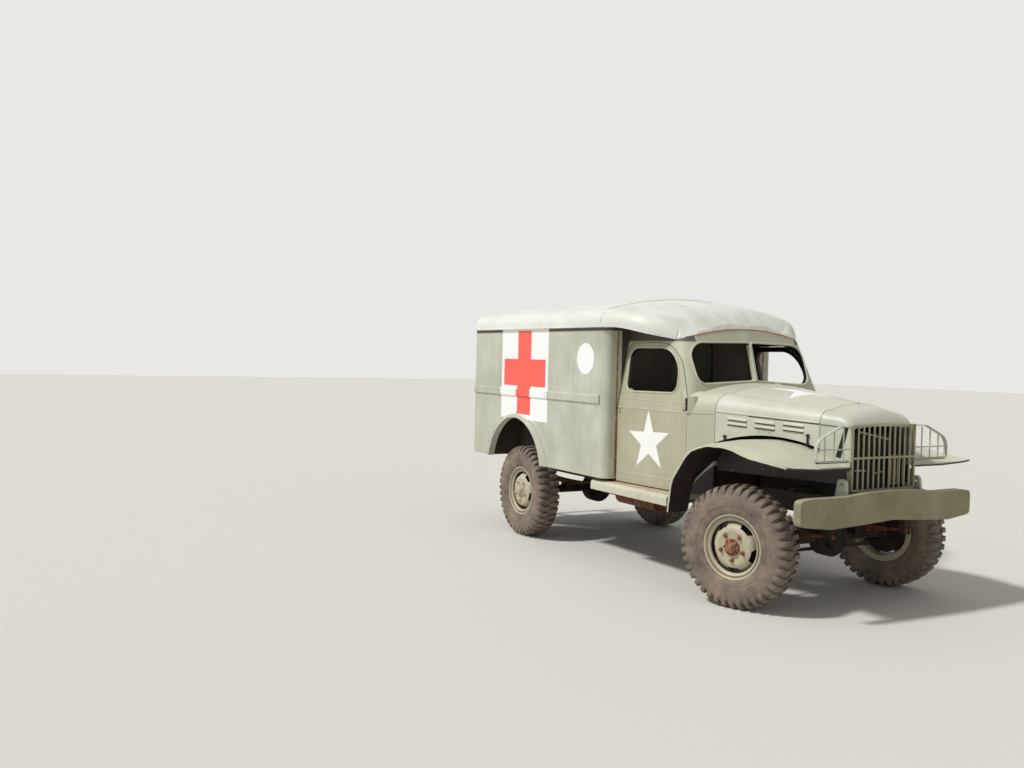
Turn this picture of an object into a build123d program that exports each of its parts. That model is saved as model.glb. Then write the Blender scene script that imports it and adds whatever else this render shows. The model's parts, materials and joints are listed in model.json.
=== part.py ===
# Military ambulance truck: a short bonneted cab, a box body and a ladder frame on leaf springs.
# Frame: X forward, Y to the truck's left, Z up, millimetres, floor at Z = 0.
from build123d import *
import math
import os

os.makedirs("parts", exist_ok=True)

# Driving sizes

FRONT_OVERHANG = 712
BOX_SETBACK = 1547
BOX_LENGTH = 2510
STEP_OVERHANG = 171
OVERALL_LENGTH = FRONT_OVERHANG + BOX_SETBACK + BOX_LENGTH + STEP_OVERHANG
WHEELBASE = 3073
TRACK = 1645
GAP = 5
SEAT = 0.3

TYRE_RADIUS = 450
TYRE_WIDTH = 234
BEAD_RADIUS = 206
RIM_FLANGE_RADIUS = 240
RIM_WIDTH = 194
DISC_THICKNESS = 9
HUB_RADIUS = 62
DRUM_RADIUS = 172
SPINDLE_RADIUS = 38

FRONT_X = OVERALL_LENGTH / 2
FRONT_AXLE_X = FRONT_X - FRONT_OVERHANG
REAR_AXLE_X = FRONT_AXLE_X - WHEELBASE
WHEEL_Y = TRACK / 2
KINGPIN_INSET = 110
KINGPIN_Y = WHEEL_Y - KINGPIN_INSET
REST_STEER = 17
AXLE_Z = TYRE_RADIUS
AXLE_TUBE_RADIUS = 40
DIFFERENTIAL_RADIUS = 150
FRONT_DIFFERENTIAL_Y = 120
BALL_RADIUS = 56
CUP_WALL = 12
STEER_ARM = 120
STEER_ARM_Z = AXLE_Z - 86
STEER_ARM_THICKNESS = 16
TIE_ROD_DROP = 28
TIE_ROD_EYE_RADIUS = 18

RAIL_Y = 380
RAIL_WIDTH = 60
RAIL_DEPTH = 140
RAIL_WALL = 6
RAIL_TOP_Z = 752
HORN_TOP_Z = 850

BOX_HALF_WIDTH = 955
BOX_WALL = 40
BOX_CORNER_RADIUS = 78
BOX_BOTTOM_Z = 753
BOX_SIDE_TOP_Z = 2068
FLOOR_THICKNESS = 36
DRIP_PROUD = 10
ROOF_SHOULDER_IN = 115
ROOF_SHOULDER_RISE = 171
ROOF_CROWN_RISE = 280
ROOF_WALL = 36
ROOF_SEAM_SETBACK = 86

BOX_FRONT_X = FRONT_AXLE_X - BOX_SETBACK
BOX_REAR_X = BOX_FRONT_X - BOX_LENGTH
ROOF_SEAM_X = BOX_FRONT_X - ROOF_SEAM_SETBACK

ARCH_RADIUS = 546
ARCH_SETBACK = 57
ARCH_Z = 638
FLARE_RADIUS = 640
FLARE_SHIFT = 44
FLARE_DROP = 30
FLARE_PROUD = 30
FLARE_LIP = 8
ARCH_X = REAR_AXLE_X - ARCH_SETBACK

LOCKER_WIDTH = 370
LOCKER_TOP_Z = 1245
LOCKER_WALL = 24

RUB_RAIL_Z = 1437
RUB_RAIL_HEIGHT = 80
RUB_RAIL_PROUD = 15

REAR_DOOR_WIDTH = 600
REAR_DOOR_BOTTOM_Z = 800
REAR_DOOR_TOP_Z = 2020

CAB_REAR_HALF = 828
CAB_FRONT_HALF = 760
CAB_SIDE_LENGTH = 876
CAB_WALL = 35
DOOR_BOTTOM_Z = 738
BELT_Z = 1376
TUMBLEHOME = 149
TUMBLEHOME_TOP_Z = 2160
DOOR_TOP_Z = 1942
HINGE_PROUD = 12

HOOD_REAR_X = FRONT_AXLE_X - 497
HOOD_FRONT_X = FRONT_AXLE_X + 368
NOSE_X = FRONT_AXLE_X + 592
GRILLE_X = FRONT_AXLE_X + 614
FENDER_FRONT_X = FRONT_AXLE_X + 614
COWL_REAR_X = BOX_FRONT_X + CAB_SIDE_LENGTH + 2 * GAP
HOOD_WALL = 18

HOOD_REAR_HALF = 625
NOSE_HALF = 322
FENDER_HALF = 943
FENDER_WALL = 14

BUMPER_HALF = 869
BUMPER_DEPTH = 65
BUMPER_WALL = 6
BUMPER_SWEEP = 29

STEP_HALF = 430
STEP_LENGTH = 215
STEP_THICKNESS = 28
STEP_HINGE_Z = 545


# Helpers

def block(low, high):
    """A rectangular block between two opposite corners."""
    size = [b - a for a, b in zip(low, high)]
    middle = [(a + b) / 2 for a, b in zip(low, high)]
    return Pos(*middle) * Box(*size)


def mirrored(shape):
    """The same piece on the truck's other side."""
    return mirror(shape, about=Plane.XZ)


def rounded_face(plane, corners):
    """A closed flat face from a table of corners, each u, v, radius."""
    points = [Vector(u, v) for u, v, radius in corners]
    starts, middles, ends = [], [], []
    for index, (u, v, radius) in enumerate(corners):
        here = points[index]
        back = (points[index - 1] - here).normalized()
        ahead = (points[(index + 1) % len(points)] - here).normalized()
        if radius == 0:
            starts.append(here)
            middles.append(None)
            ends.append(here)
            continue
        half = math.radians(back.get_angle(ahead)) / 2
        setback = radius / math.tan(half)
        inward = (back + ahead).normalized()
        starts.append(here + back * setback)
        middles.append(here + inward * (radius / math.sin(half) - radius))
        ends.append(here + ahead * setback)
    edges = []
    for index in range(len(points)):
        if middles[index] is not None:
            edges.append(ThreePointArc(starts[index], middles[index], ends[index]))
        edges.append(Line(ends[index], starts[(index + 1) % len(points)]))
    return plane * make_face(edges)


def strip_corners(chain, thickness):
    """The corner table of a strip: a chain of u, v, radius and the same chain moved to its right."""
    points = [Vector(u, v) for u, v, radius in chain]
    moved = []
    for index, (u, v, radius) in enumerate(chain):
        normals = []
        for first, second in ((index - 1, index), (index, index + 1)):
            if first < 0 or second >= len(points):
                continue
            run = (points[second] - points[first]).normalized()
            normals.append(Vector(run.Y, -run.X))
        total = normals[0] if len(normals) == 1 else (normals[0] + normals[1])
        middle = total.normalized()
        reach = thickness / middle.dot(normals[0])
        other = points[index] + middle * reach
        turn = 0
        if len(normals) == 2:
            turn = normals[0].X * normals[1].Y - normals[0].Y * normals[1].X
        inner = 0 if radius == 0 else radius + (thickness if turn > 0 else -thickness)
        moved.append((other.X, other.Y, inner))
    return list(chain) + moved[::-1]


def prism_xz(corners, low_y, high_y):
    """A side-view outline of x, z, radius made solid between two Y planes."""
    return extrude(rounded_face(Plane.XZ.offset(-high_y), corners), high_y - low_y)


def prism_yz(corners, low_x, high_x):
    """A front-view outline of y, z, radius made solid between two X planes."""
    return extrude(rounded_face(Plane.YZ.offset(low_x), corners), high_x - low_x)


def prism_xy(corners, low_z, high_z):
    """A plan outline of x, y, radius made solid between two heights."""
    return extrude(rounded_face(Plane.XY.offset(low_z), corners), high_z - low_z)


def rod(start, end, radius):
    """A round bar between two points."""
    run = Vector(*end) - Vector(*start)
    return extrude(Plane(origin=start, z_dir=run) * Circle(radius), run.length)


def turned_y(rows, centre, side=1):
    """A solid of revolution about an axle: rows of radius, distance outboard."""
    face = make_face(Polyline([(radius, out) for radius, out in rows], close=True))
    spun = revolve(Plane.XZ * Pos(0, 0) * face, Axis.Z)
    return Pos(*centre) * Rot(-90 * side, 0, 0) * spun


def both_sides(shape):
    """Two like solids, one for each side, kept apart."""
    return Compound([shape, mirrored(shape)])


PIECES = {}


def keep(name, shape):
    """Files a finished piece under its name."""
    PIECES[name] = shape


# Frame, with rails that rise to the front horns

RAIL_REAR_X = BOX_REAR_X + 60
RAIL_FRONT_X = FRONT_X - BUMPER_SWEEP * ((RAIL_Y + RAIL_WIDTH / 2) / BUMPER_HALF) ** 2 - BUMPER_WALL - SEAT
RAIL_BEND_X = FRONT_AXLE_X - 430
HORN_X = FRONT_AXLE_X - 110
RAIL_CHAIN = [
    (RAIL_REAR_X, RAIL_TOP_Z, 0),
    (RAIL_BEND_X, RAIL_TOP_Z, 400),
    (HORN_X, HORN_TOP_Z - 12, 400),
    (RAIL_FRONT_X, HORN_TOP_Z, 0),
]


def make_rail():
    outer_y = RAIL_Y + RAIL_WIDTH / 2
    inner_y = RAIL_Y - RAIL_WIDTH / 2
    solid = prism_xz(strip_corners(RAIL_CHAIN, RAIL_DEPTH), inner_y, outer_y)
    solid &= block((RAIL_REAR_X - 1, 0, 0), (RAIL_FRONT_X, 2 * outer_y, 2 * HORN_TOP_Z))
    hollow_chain = [(x, z - RAIL_WALL, radius) for x, z, radius in RAIL_CHAIN]
    hollow_chain[0] = (RAIL_REAR_X - 1, RAIL_TOP_Z - RAIL_WALL, 0)
    hollow_chain[-1] = (RAIL_FRONT_X + 1, HORN_TOP_Z - RAIL_WALL, 0)
    hollow = prism_xz(strip_corners(hollow_chain, RAIL_DEPTH - 2 * RAIL_WALL), inner_y - 1, outer_y - RAIL_WALL)
    return solid - hollow


def rail_bottom(x):
    """Height of the rail's lower edge at a station."""
    if x <= RAIL_BEND_X:
        return RAIL_TOP_Z - RAIL_DEPTH
    if x >= HORN_X:
        return HORN_TOP_Z - 12 - RAIL_DEPTH
    share = (x - RAIL_BEND_X) / (HORN_X - RAIL_BEND_X)
    return RAIL_TOP_Z - RAIL_DEPTH + share * (HORN_TOP_Z - 12 - RAIL_TOP_Z)


keep("frame_rails", both_sides(make_rail()))

CROSS_DEPTH = 90
CROSS_WIDTH = 60


def make_crossmember(x, top):
    reach = RAIL_Y + RAIL_WIDTH / 2 - RAIL_WALL
    outer = block((x - CROSS_WIDTH / 2, -reach, top - CROSS_DEPTH), (x + CROSS_WIDTH / 2, reach, top))
    inner = block((x - CROSS_WIDTH / 2 + RAIL_WALL, -reach, top - CROSS_DEPTH - 1),
                  (x + CROSS_WIDTH / 2 - RAIL_WALL, reach, top - RAIL_WALL))
    return outer - inner


CROSS_TOP = RAIL_TOP_Z - RAIL_WALL - 10
CROSSMEMBERS = [  # x, top height
    (RAIL_REAR_X + 60, CROSS_TOP),
    (REAR_AXLE_X - 260, CROSS_TOP),
    (REAR_AXLE_X + 420, CROSS_TOP),
    (BOX_FRONT_X - 500, CROSS_TOP),
    (BOX_FRONT_X + 200, CROSS_TOP),
    (FRONT_AXLE_X + 560, HORN_TOP_Z - 30),
]
keep("frame_crossmembers", Compound([make_crossmember(x, top) for x, top in CROSSMEMBERS]))

# Leaf springs, their hangers and the axles

LEAF_WIDTH = 44
LEAF_THICKNESS = 9
LEAF_COUNT = 5
SPRING_HALF_LENGTH = 480
SPRING_CAMBER = 20
EYE_RADIUS = 24
PIN_RADIUS = 10
PAD_HEIGHT = 16
PAD_HALF_LENGTH = 60
LEAF_TOP_Z = AXLE_Z + AXLE_TUBE_RADIUS + PAD_HEIGHT + LEAF_COUNT * LEAF_THICKNESS


def make_spring(x):
    pack = None
    for leaf in range(LEAF_COUNT):
        reach = SPRING_HALF_LENGTH * (1 - leaf / (LEAF_COUNT + 1.5))
        rise = SPRING_CAMBER * (reach / SPRING_HALF_LENGTH) ** 2
        top = LEAF_TOP_Z - leaf * LEAF_THICKNESS
        arc = ThreePointArc((x - reach, top + rise), (x, top), (x + reach, top + rise))
        low = ThreePointArc((x + reach, top + rise - LEAF_THICKNESS), (x, top - LEAF_THICKNESS),
                            (x - reach, top + rise - LEAF_THICKNESS))
        ends = [Line(arc @ 1, low @ 0), Line(low @ 1, arc @ 0)]
        face = Plane.XZ.offset(-(RAIL_Y + LEAF_WIDTH / 2)) * make_face([arc, ends[0], low, ends[1]])
        solid = extrude(face, LEAF_WIDTH)
        pack = solid if pack is None else pack + solid
    for side in (-1, 1):
        centre = (x + side * (SPRING_HALF_LENGTH + EYE_RADIUS - 6), LEAF_TOP_Z + SPRING_CAMBER - LEAF_THICKNESS / 2)
        low_y, high_y = RAIL_Y - LEAF_WIDTH / 2, RAIL_Y + LEAF_WIDTH / 2
        pack += rod((centre[0], low_y, centre[1]), (centre[0], high_y, centre[1]), EYE_RADIUS)
        pack -= rod((centre[0], low_y, centre[1]), (centre[0], high_y, centre[1]), PIN_RADIUS + SEAT)
    return pack


def make_hanger(x):
    """A fork under the rail that holds a spring eye on its pin."""
    eye_z = LEAF_TOP_Z + SPRING_CAMBER - LEAF_THICKNESS / 2
    top = rail_bottom(x + 30) if x < FRONT_AXLE_X - 300 else rail_bottom(x)
    low = min(rail_bottom(x - 30), rail_bottom(x + 30))
    outer_y = RAIL_Y + RAIL_WIDTH / 2
    inner_y = RAIL_Y - RAIL_WIDTH / 2
    body = block((x - 30, inner_y, eye_z - 30), (x + 30, outer_y, top + 20))
    rail = prism_xz(strip_corners(RAIL_CHAIN, RAIL_DEPTH), inner_y - 1, outer_y + 1)
    body -= rail
    body -= block((x - 31, RAIL_Y - LEAF_WIDTH / 2 - 1, eye_z - 31),
                  (x + 31, RAIL_Y + LEAF_WIDTH / 2 + 1, min(eye_z + EYE_RADIUS + 4, low - 4)))
    return body + rod((x, inner_y, eye_z), (x, outer_y, eye_z), PIN_RADIUS)


EYE_OFFSET = SPRING_HALF_LENGTH + EYE_RADIUS - 6
hangers = []
for axle_x in (FRONT_AXLE_X, REAR_AXLE_X):
    for side in (-1, 1):
        hanger = make_hanger(axle_x + side * EYE_OFFSET)
        hangers += [hanger, mirrored(hanger)]
keep("spring_hangers", Compound(hangers))
keep("springs_front", both_sides(make_spring(FRONT_AXLE_X)))
keep("springs_rear", both_sides(make_spring(REAR_AXLE_X)))


def make_axle(x, differential_y, end_y):
    tube = rod((x, -end_y, AXLE_Z), (x, end_y, AXLE_Z), AXLE_TUBE_RADIUS)
    bowl = Pos(x, differential_y, AXLE_Z) * Rot(0, 90, 0) * Cylinder(DIFFERENTIAL_RADIUS, 110)
    cover = Pos(x - 20, differential_y, AXLE_Z) * Rot(0, 90, 0) * Cylinder(DIFFERENTIAL_RADIUS * 0.6, 230)
    axle = tube + bowl + cover
    for side in (-1, 1):
        y = side * RAIL_Y
        pad = block((x - PAD_HALF_LENGTH, y - LEAF_WIDTH / 2, AXLE_Z),
                    (x + PAD_HALF_LENGTH, y + LEAF_WIDTH / 2, AXLE_Z + AXLE_TUBE_RADIUS + PAD_HEIGHT))
        axle += pad
    return axle


CUP_RADIUS = BALL_RADIUS + SEAT + CUP_WALL
front_axle = make_axle(FRONT_AXLE_X, FRONT_DIFFERENTIAL_Y, KINGPIN_Y)
for side in (-1, 1):
    front_axle += Pos(FRONT_AXLE_X, side * KINGPIN_Y, AXLE_Z) * Sphere(BALL_RADIUS)
keep("axle_front", front_axle)

BACKING_OUT = -34
BACKING_THICKNESS = 6
rear_axle = make_axle(REAR_AXLE_X, 0, WHEEL_Y + BACKING_OUT)
for side in (-1, 1):
    centre = (REAR_AXLE_X, side * WHEEL_Y, AXLE_Z)
    rear_axle += turned_y([(0, BACKING_OUT - BACKING_THICKNESS), (DRUM_RADIUS, BACKING_OUT - BACKING_THICKNESS),
                           (DRUM_RADIUS, BACKING_OUT), (SPINDLE_RADIUS, BACKING_OUT), (SPINDLE_RADIUS, 40),
                           (0, 40)], centre, side)
keep("axle_rear", rear_axle)

# Steering knuckles and the tie rod, turned to where the truck is parked

TIE_PIN_RADIUS = 9
TIE_ROD_RADIUS = 14


def make_knuckle():
    """A cup round the axle's ball with its kingpin bosses, spindle, backing plate and arm."""
    cup = Sphere(CUP_RADIUS) - block((-200, -200, -200), (200, -2, 200))
    for end in (-1, 1):
        cup += Pos(0, 0, end * (CUP_RADIUS + 2)) * Cylinder(26, 24)
    flange_in = BACKING_OUT - BACKING_THICKNESS
    spindle = turned_y([(0, flange_in - 20), (48, flange_in - 20), (48, flange_in), (DRUM_RADIUS, flange_in),
                        (DRUM_RADIUS, BACKING_OUT), (SPINDLE_RADIUS, BACKING_OUT), (SPINDLE_RADIUS, 40), (0, 40)],
                       (0, KINGPIN_INSET, 0), 1)
    arm_z = STEER_ARM_Z - AXLE_Z
    eye = Pos(-STEER_ARM, 0, arm_z) * Cylinder(TIE_ROD_EYE_RADIUS, STEER_ARM_THICKNESS)
    arm = block((-STEER_ARM, -15, arm_z - STEER_ARM_THICKNESS / 2), (0, 15, arm_z + STEER_ARM_THICKNESS / 2)) + eye
    arm -= Pos(-STEER_ARM, 0, arm_z) * Cylinder(TIE_PIN_RADIUS + SEAT, 40)
    return cup + spindle + arm - Sphere(BALL_RADIUS + SEAT)


LEFT_KNUCKLE = make_knuckle()
RIGHT_KNUCKLE = mirrored(LEFT_KNUCKLE)


def steered(shape, side):
    """Places a piece made round a kingpin and turns it to the parked steering angle."""
    return Pos(FRONT_AXLE_X, side * KINGPIN_Y, AXLE_Z) * Rot(0, 0, REST_STEER) * shape


keep("knuckle_left", steered(LEFT_KNUCKLE, 1))
keep("knuckle_right", steered(RIGHT_KNUCKLE, -1))


def arm_eye(side):
    """Where the steering arm's eye stands at the parked angle."""
    turn = math.radians(REST_STEER)
    return FRONT_AXLE_X - STEER_ARM * math.cos(turn), side * KINGPIN_Y - STEER_ARM * math.sin(turn)


TIE_ROD_Z = STEER_ARM_Z - TIE_ROD_DROP
right_eye, left_eye = arm_eye(-1), arm_eye(1)
tie_rod = rod((*right_eye, TIE_ROD_Z), (*left_eye, TIE_ROD_Z), TIE_ROD_RADIUS)
for x, y in (right_eye, left_eye):
    tie_rod += Pos(x, y, TIE_ROD_Z) * Cylinder(TIE_ROD_EYE_RADIUS, 2 * TIE_ROD_RADIUS + 4)
    tie_rod += Pos(x, y, (TIE_ROD_Z + STEER_ARM_Z + 10) / 2) * Cylinder(TIE_PIN_RADIUS, TIE_ROD_DROP + 10)
keep("tie_rod", tie_rod)

# Wheels and tyres

HALF = TYRE_WIDTH / 2
TREAD_HALF = HALF - 14
BEAD_HALF = RIM_WIDTH / 2 - 8
TYRE_ROWS = [  # radius, distance outboard
    (BEAD_RADIUS, -BEAD_HALF), (RIM_FLANGE_RADIUS, -BEAD_HALF), (TYRE_RADIUS - 120, -HALF),
    (TYRE_RADIUS - 60, -HALF + 2), (TYRE_RADIUS - 6, -TREAD_HALF), (TYRE_RADIUS, -TREAD_HALF + 40),
    (TYRE_RADIUS, TREAD_HALF - 40), (TYRE_RADIUS - 6, TREAD_HALF), (TYRE_RADIUS - 60, HALF - 2),
    (TYRE_RADIUS - 120, HALF), (RIM_FLANGE_RADIUS, BEAD_HALF), (BEAD_RADIUS, BEAD_HALF),
]
RIM_EDGE = RIM_WIDTH / 2
DISC_OUT = 44
BOLT_CIRCLE_RADIUS = 122
HAND_HOLES = 5
HAND_HOLE_RADIUS = 28
HAND_HOLE_CIRCLE = 186
HUB_REACH = 92


def make_wheel():
    """Rim, dished disc, hub and drum about the Y axis, outboard towards +Y."""
    rim = turned_y([(BEAD_RADIUS, -BEAD_HALF), (RIM_FLANGE_RADIUS, -BEAD_HALF), (RIM_FLANGE_RADIUS, -RIM_EDGE),
                    (BEAD_RADIUS - 8, -RIM_EDGE), (BEAD_RADIUS - 8, RIM_EDGE), (RIM_FLANGE_RADIUS, RIM_EDGE),
                    (RIM_FLANGE_RADIUS, BEAD_HALF), (BEAD_RADIUS, BEAD_HALF)], (0, 0, 0))
    disc = turned_y([(BEAD_RADIUS - 7, 20), (164, 22), (148, DISC_OUT + 12), (BOLT_CIRCLE_RADIUS, DISC_OUT + 16),
                     (96, DISC_OUT), (HUB_RADIUS - 1, DISC_OUT), (HUB_RADIUS - 1, DISC_OUT - DISC_THICKNESS),
                     (92, DISC_OUT - DISC_THICKNESS), (118, DISC_OUT + 16 - DISC_THICKNESS),
                     (140, DISC_OUT + 6 - DISC_THICKNESS), (156, 13), (BEAD_RADIUS - 7, 11)], (0, 0, 0))
    bore = SPINDLE_RADIUS + SEAT
    hub = turned_y([(bore, BACKING_OUT + 4), (HUB_RADIUS, BACKING_OUT + 4), (HUB_RADIUS, HUB_REACH - 12),
                    (HUB_RADIUS - 12, HUB_REACH), (0, HUB_REACH), (0, 46), (bore, 46)], (0, 0, 0))
    drum = turned_y([(HUB_RADIUS - 2, 6), (DRUM_RADIUS - 8, 6), (DRUM_RADIUS - 8, BACKING_OUT + 2),
                     (DRUM_RADIUS, BACKING_OUT + 2), (DRUM_RADIUS, 14), (HUB_RADIUS - 2, 14)], (0, 0, 0))
    for index in range(HAND_HOLES):
        turn = 360 / HAND_HOLES * index + 90
        disc -= Rot(0, turn, 0) * Pos(HAND_HOLE_CIRCLE, 25, 0) * Rot(90, 0, 0) * Cylinder(HAND_HOLE_RADIUS, 60)
    return rim + disc + hub + drum


TYRE = turned_y(TYRE_ROWS, (0, 0, 0))
WHEEL = make_wheel()
for name, side in (("left", 1), ("right", -1)):
    for kind, shape in (("tyre", TYRE), ("wheel", WHEEL)):
        handed = shape if side == 1 else mirrored(shape)
        keep(f"{kind}_front_{name}", steered(Pos(0, side * KINGPIN_INSET, 0) * handed, side))
        keep(f"{kind}_rear_{name}", Pos(REAR_AXLE_X, side * WHEEL_Y, AXLE_Z) * handed)

# Engine, gearbox, shafts, radiator, tank and exhaust

ENGINE_REAR_X = HOOD_REAR_X + 60
ENGINE_FRONT_X = HOOD_FRONT_X - 40
ENGINE_HALF = 190
ENGINE_BOTTOM_Z = 640
ENGINE_MOUNT_X = FRONT_AXLE_X + 120
engine = prism_yz([(-ENGINE_HALF * 0.6, ENGINE_BOTTOM_Z, 20), (ENGINE_HALF * 0.6, ENGINE_BOTTOM_Z, 20),
                   (ENGINE_HALF, 800, 30), (ENGINE_HALF * 0.8, 1200, 20), (-ENGINE_HALF * 0.8, 1200, 20),
                   (-ENGINE_HALF, 800, 30)], ENGINE_REAR_X, ENGINE_FRONT_X)
engine_arm = block((ENGINE_MOUNT_X - 35, -RAIL_Y - 20, HORN_TOP_Z - 25),
                   (ENGINE_MOUNT_X + 35, RAIL_Y + 20, HORN_TOP_Z + 20))
raised_rail = [(x, z + SEAT, radius) for x, z, radius in RAIL_CHAIN]
for side in (-1, 1):
    rail_room = prism_xz(strip_corners(raised_rail, RAIL_DEPTH), RAIL_Y - RAIL_WIDTH / 2 - SEAT, RAIL_Y + RAIL_WIDTH)
    engine_arm -= rail_room if side == 1 else mirrored(rail_room)
keep("engine_block", engine + engine_arm)

GEARBOX_HALF = 150
TRANSFER_X = BOX_FRONT_X + 330
TRANSFER_LENGTH = 200
gearbox = prism_yz([(-GEARBOX_HALF, 600, 40), (GEARBOX_HALF, 600, 40), (GEARBOX_HALF * 0.7, 720, 30),
                    (-GEARBOX_HALF * 0.7, 720, 30)], TRANSFER_X + TRANSFER_LENGTH / 2, ENGINE_REAR_X)
TRANSFER_LEFT_Y = FRONT_DIFFERENTIAL_Y + 90
gearbox += prism_yz([(-GEARBOX_HALF, 470, 40), (TRANSFER_LEFT_Y, 470, 40), (TRANSFER_LEFT_Y, 640, 40),
                     (GEARBOX_HALF * 0.7, 720, 30), (-GEARBOX_HALF, 720, 30)],
                    TRANSFER_X - TRANSFER_LENGTH / 2, TRANSFER_X + TRANSFER_LENGTH / 2)
keep("gearbox", gearbox)

SHAFT_RADIUS = 32
SHAFT_Z = 545
front_shaft = rod((TRANSFER_X + TRANSFER_LENGTH / 2, FRONT_DIFFERENTIAL_Y, SHAFT_Z),
                  (FRONT_AXLE_X - 135, FRONT_DIFFERENTIAL_Y, AXLE_Z), SHAFT_RADIUS)
rear_shaft = rod((TRANSFER_X - TRANSFER_LENGTH / 2, 0, SHAFT_Z), (REAR_AXLE_X + 95, 0, AXLE_Z), SHAFT_RADIUS)
front_shaft -= block((TRANSFER_X, -400, 0), (TRANSFER_X + TRANSFER_LENGTH / 2, 400, 900)) + front_axle
rear_shaft -= block((TRANSFER_X - TRANSFER_LENGTH / 2, -400, 0), (TRANSFER_X, 400, 900)) + rear_axle
keep("prop_shafts", Compound([front_shaft, rear_shaft]))

RADIATOR_HALF = 280
RADIATOR_X = GRILLE_X - 130
RADIATOR_DEPTH = 60
RADIATOR_TOP_Z = 1300
keep("radiator", prism_yz([(-RADIATOR_HALF, HORN_TOP_Z - 30, 0), (RADIATOR_HALF, HORN_TOP_Z - 30, 0),
                           (RADIATOR_HALF, RADIATOR_TOP_Z, 60), (-RADIATOR_HALF, RADIATOR_TOP_Z, 60)],
                          RADIATOR_X, RADIATOR_X + RADIATOR_DEPTH))

TANK_WIDTH = 330
TANK_LENGTH = 620
TANK_DEPTH = 270
TANK_FRONT_X = BOX_FRONT_X - 420
TANK_Y = RAIL_Y + RAIL_WIDTH / 2
tank = prism_yz([(TANK_Y, RAIL_TOP_Z - TANK_DEPTH, 50), (TANK_Y + TANK_WIDTH, RAIL_TOP_Z - TANK_DEPTH, 50),
                 (TANK_Y + TANK_WIDTH, RAIL_TOP_Z, 50), (TANK_Y, RAIL_TOP_Z, 50)],
                TANK_FRONT_X - TANK_LENGTH, TANK_FRONT_X)
keep("fuel_tank", tank)

MUFFLER_RADIUS = 78
MUFFLER_LENGTH = 560
MUFFLER_Y = -(RAIL_Y + RAIL_WIDTH / 2 + MUFFLER_RADIUS + 34)
MUFFLER_Z = 560
MUFFLER_FRONT_X = BOX_FRONT_X + 240
PIPE_RADIUS = 26
exhaust = rod((MUFFLER_FRONT_X - MUFFLER_LENGTH, MUFFLER_Y, MUFFLER_Z), (MUFFLER_FRONT_X, MUFFLER_Y, MUFFLER_Z),
              MUFFLER_RADIUS)
exhaust += rod((MUFFLER_FRONT_X - MUFFLER_LENGTH - 300, MUFFLER_Y, MUFFLER_Z),
               (MUFFLER_FRONT_X + 260, MUFFLER_Y, MUFFLER_Z), PIPE_RADIUS)
for x in (MUFFLER_FRONT_X - 90, MUFFLER_FRONT_X - MUFFLER_LENGTH + 90):
    exhaust += block((x - 20, MUFFLER_Y - 4, MUFFLER_Z + 60), (x + 20, MUFFLER_Y + 4, RAIL_TOP_Z - 60))
    exhaust += block((x - 20, MUFFLER_Y - 4, RAIL_TOP_Z - 68), (x + 20, -(RAIL_Y + RAIL_WIDTH / 2), RAIL_TOP_Z - 60))
keep("exhaust", exhaust)

# Front bumper and tow eyes


def bumper_band(front, back):
    """A swept plan band between two setbacks from the bumper's face."""
    span = BUMPER_HALF + 20
    sweep = BUMPER_SWEEP * (span / BUMPER_HALF) ** 2
    face_x, back_x = FRONT_X - front, FRONT_X - back
    outer = ThreePointArc((face_x - sweep, -span), (face_x, 0), (face_x - sweep, span))
    inner = ThreePointArc((back_x - sweep, span), (back_x, 0), (back_x - sweep, -span))
    ends = [Line(outer @ 1, inner @ 0), Line(inner @ 1, outer @ 0)]
    return extrude(Plane.XY.offset(500) * make_face([outer, ends[0], inner, ends[1]]), 600)


def bumper_outline(inset):
    """The gull-winged face: y, z, radius, drawn in by an inset."""
    half = BUMPER_HALF - inset
    return [(0, 910 - inset, 0), (-250, 902 - inset, 200), (-480, 880 - inset, 300), (-760, 880 - inset, 60),
            (-half, 866 - inset, 34), (-half, 694 + inset, 34),
            (-800, 684 + inset, 60), (-600, 664 + inset, 200), (-300, 680 + inset, 300), (0, 700 + inset, 0),
            (300, 680 + inset, 300), (600, 664 + inset, 200), (800, 684 + inset, 60), (half, 694 + inset, 34),
            (half, 866 - inset, 34), (760, 880 - inset, 60), (480, 880 - inset, 300), (250, 902 - inset, 200)]


bumper = prism_yz(bumper_outline(0), FRONT_X - 200, FRONT_X + 20) & bumper_band(0, BUMPER_DEPTH)
bumper -= prism_yz(bumper_outline(BUMPER_WALL), FRONT_X - 200, FRONT_X + 20) & bumper_band(BUMPER_WALL, 190)
keep("bumper_front", bumper)

EYE_PLATE = 22
EYE_HOLE_RADIUS = 12
EYE_CENTRE_X = FRONT_X - 32 - 92
EYE_CENTRE_Z = 950


def make_tow_eye():
    low_y = RAIL_Y - EYE_PLATE / 2
    corners = [(EYE_CENTRE_X - 60, HORN_TOP_Z, 0), (EYE_CENTRE_X + 50, HORN_TOP_Z, 0),
               (EYE_CENTRE_X + 36, EYE_CENTRE_Z + 38, 34), (EYE_CENTRE_X - 36, EYE_CENTRE_Z + 38, 34)]
    plate = prism_xz(corners, low_y, low_y + EYE_PLATE)
    plate -= prism_xz(strip_corners(RAIL_CHAIN, RAIL_DEPTH), low_y - 1, low_y + EYE_PLATE + 1)
    return plate - rod((EYE_CENTRE_X, low_y - 1, EYE_CENTRE_Z), (EYE_CENTRE_X, low_y + EYE_PLATE + 1, EYE_CENTRE_Z),
                       EYE_HOLE_RADIUS)


keep("tow_eyes", both_sides(make_tow_eye()))

# Hood halves, nose panel and cowl


def hood_half_width(x):
    """Half the hood's width at a station: it tapers straight from cowl to nose."""
    share = (x - HOOD_REAR_X) / (NOSE_X - HOOD_REAR_X)
    return HOOD_REAR_HALF + share * (NOSE_HALF - HOOD_REAR_HALF)


SHOULDER_SHARE = 0.74
SHOULDER_DROP_SHARE = 0.34
BULGE_SHARE = 0.94
BULGE_RISE_SHARE = 0.66
BEAD_INSET_SHARE = 0.4


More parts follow.
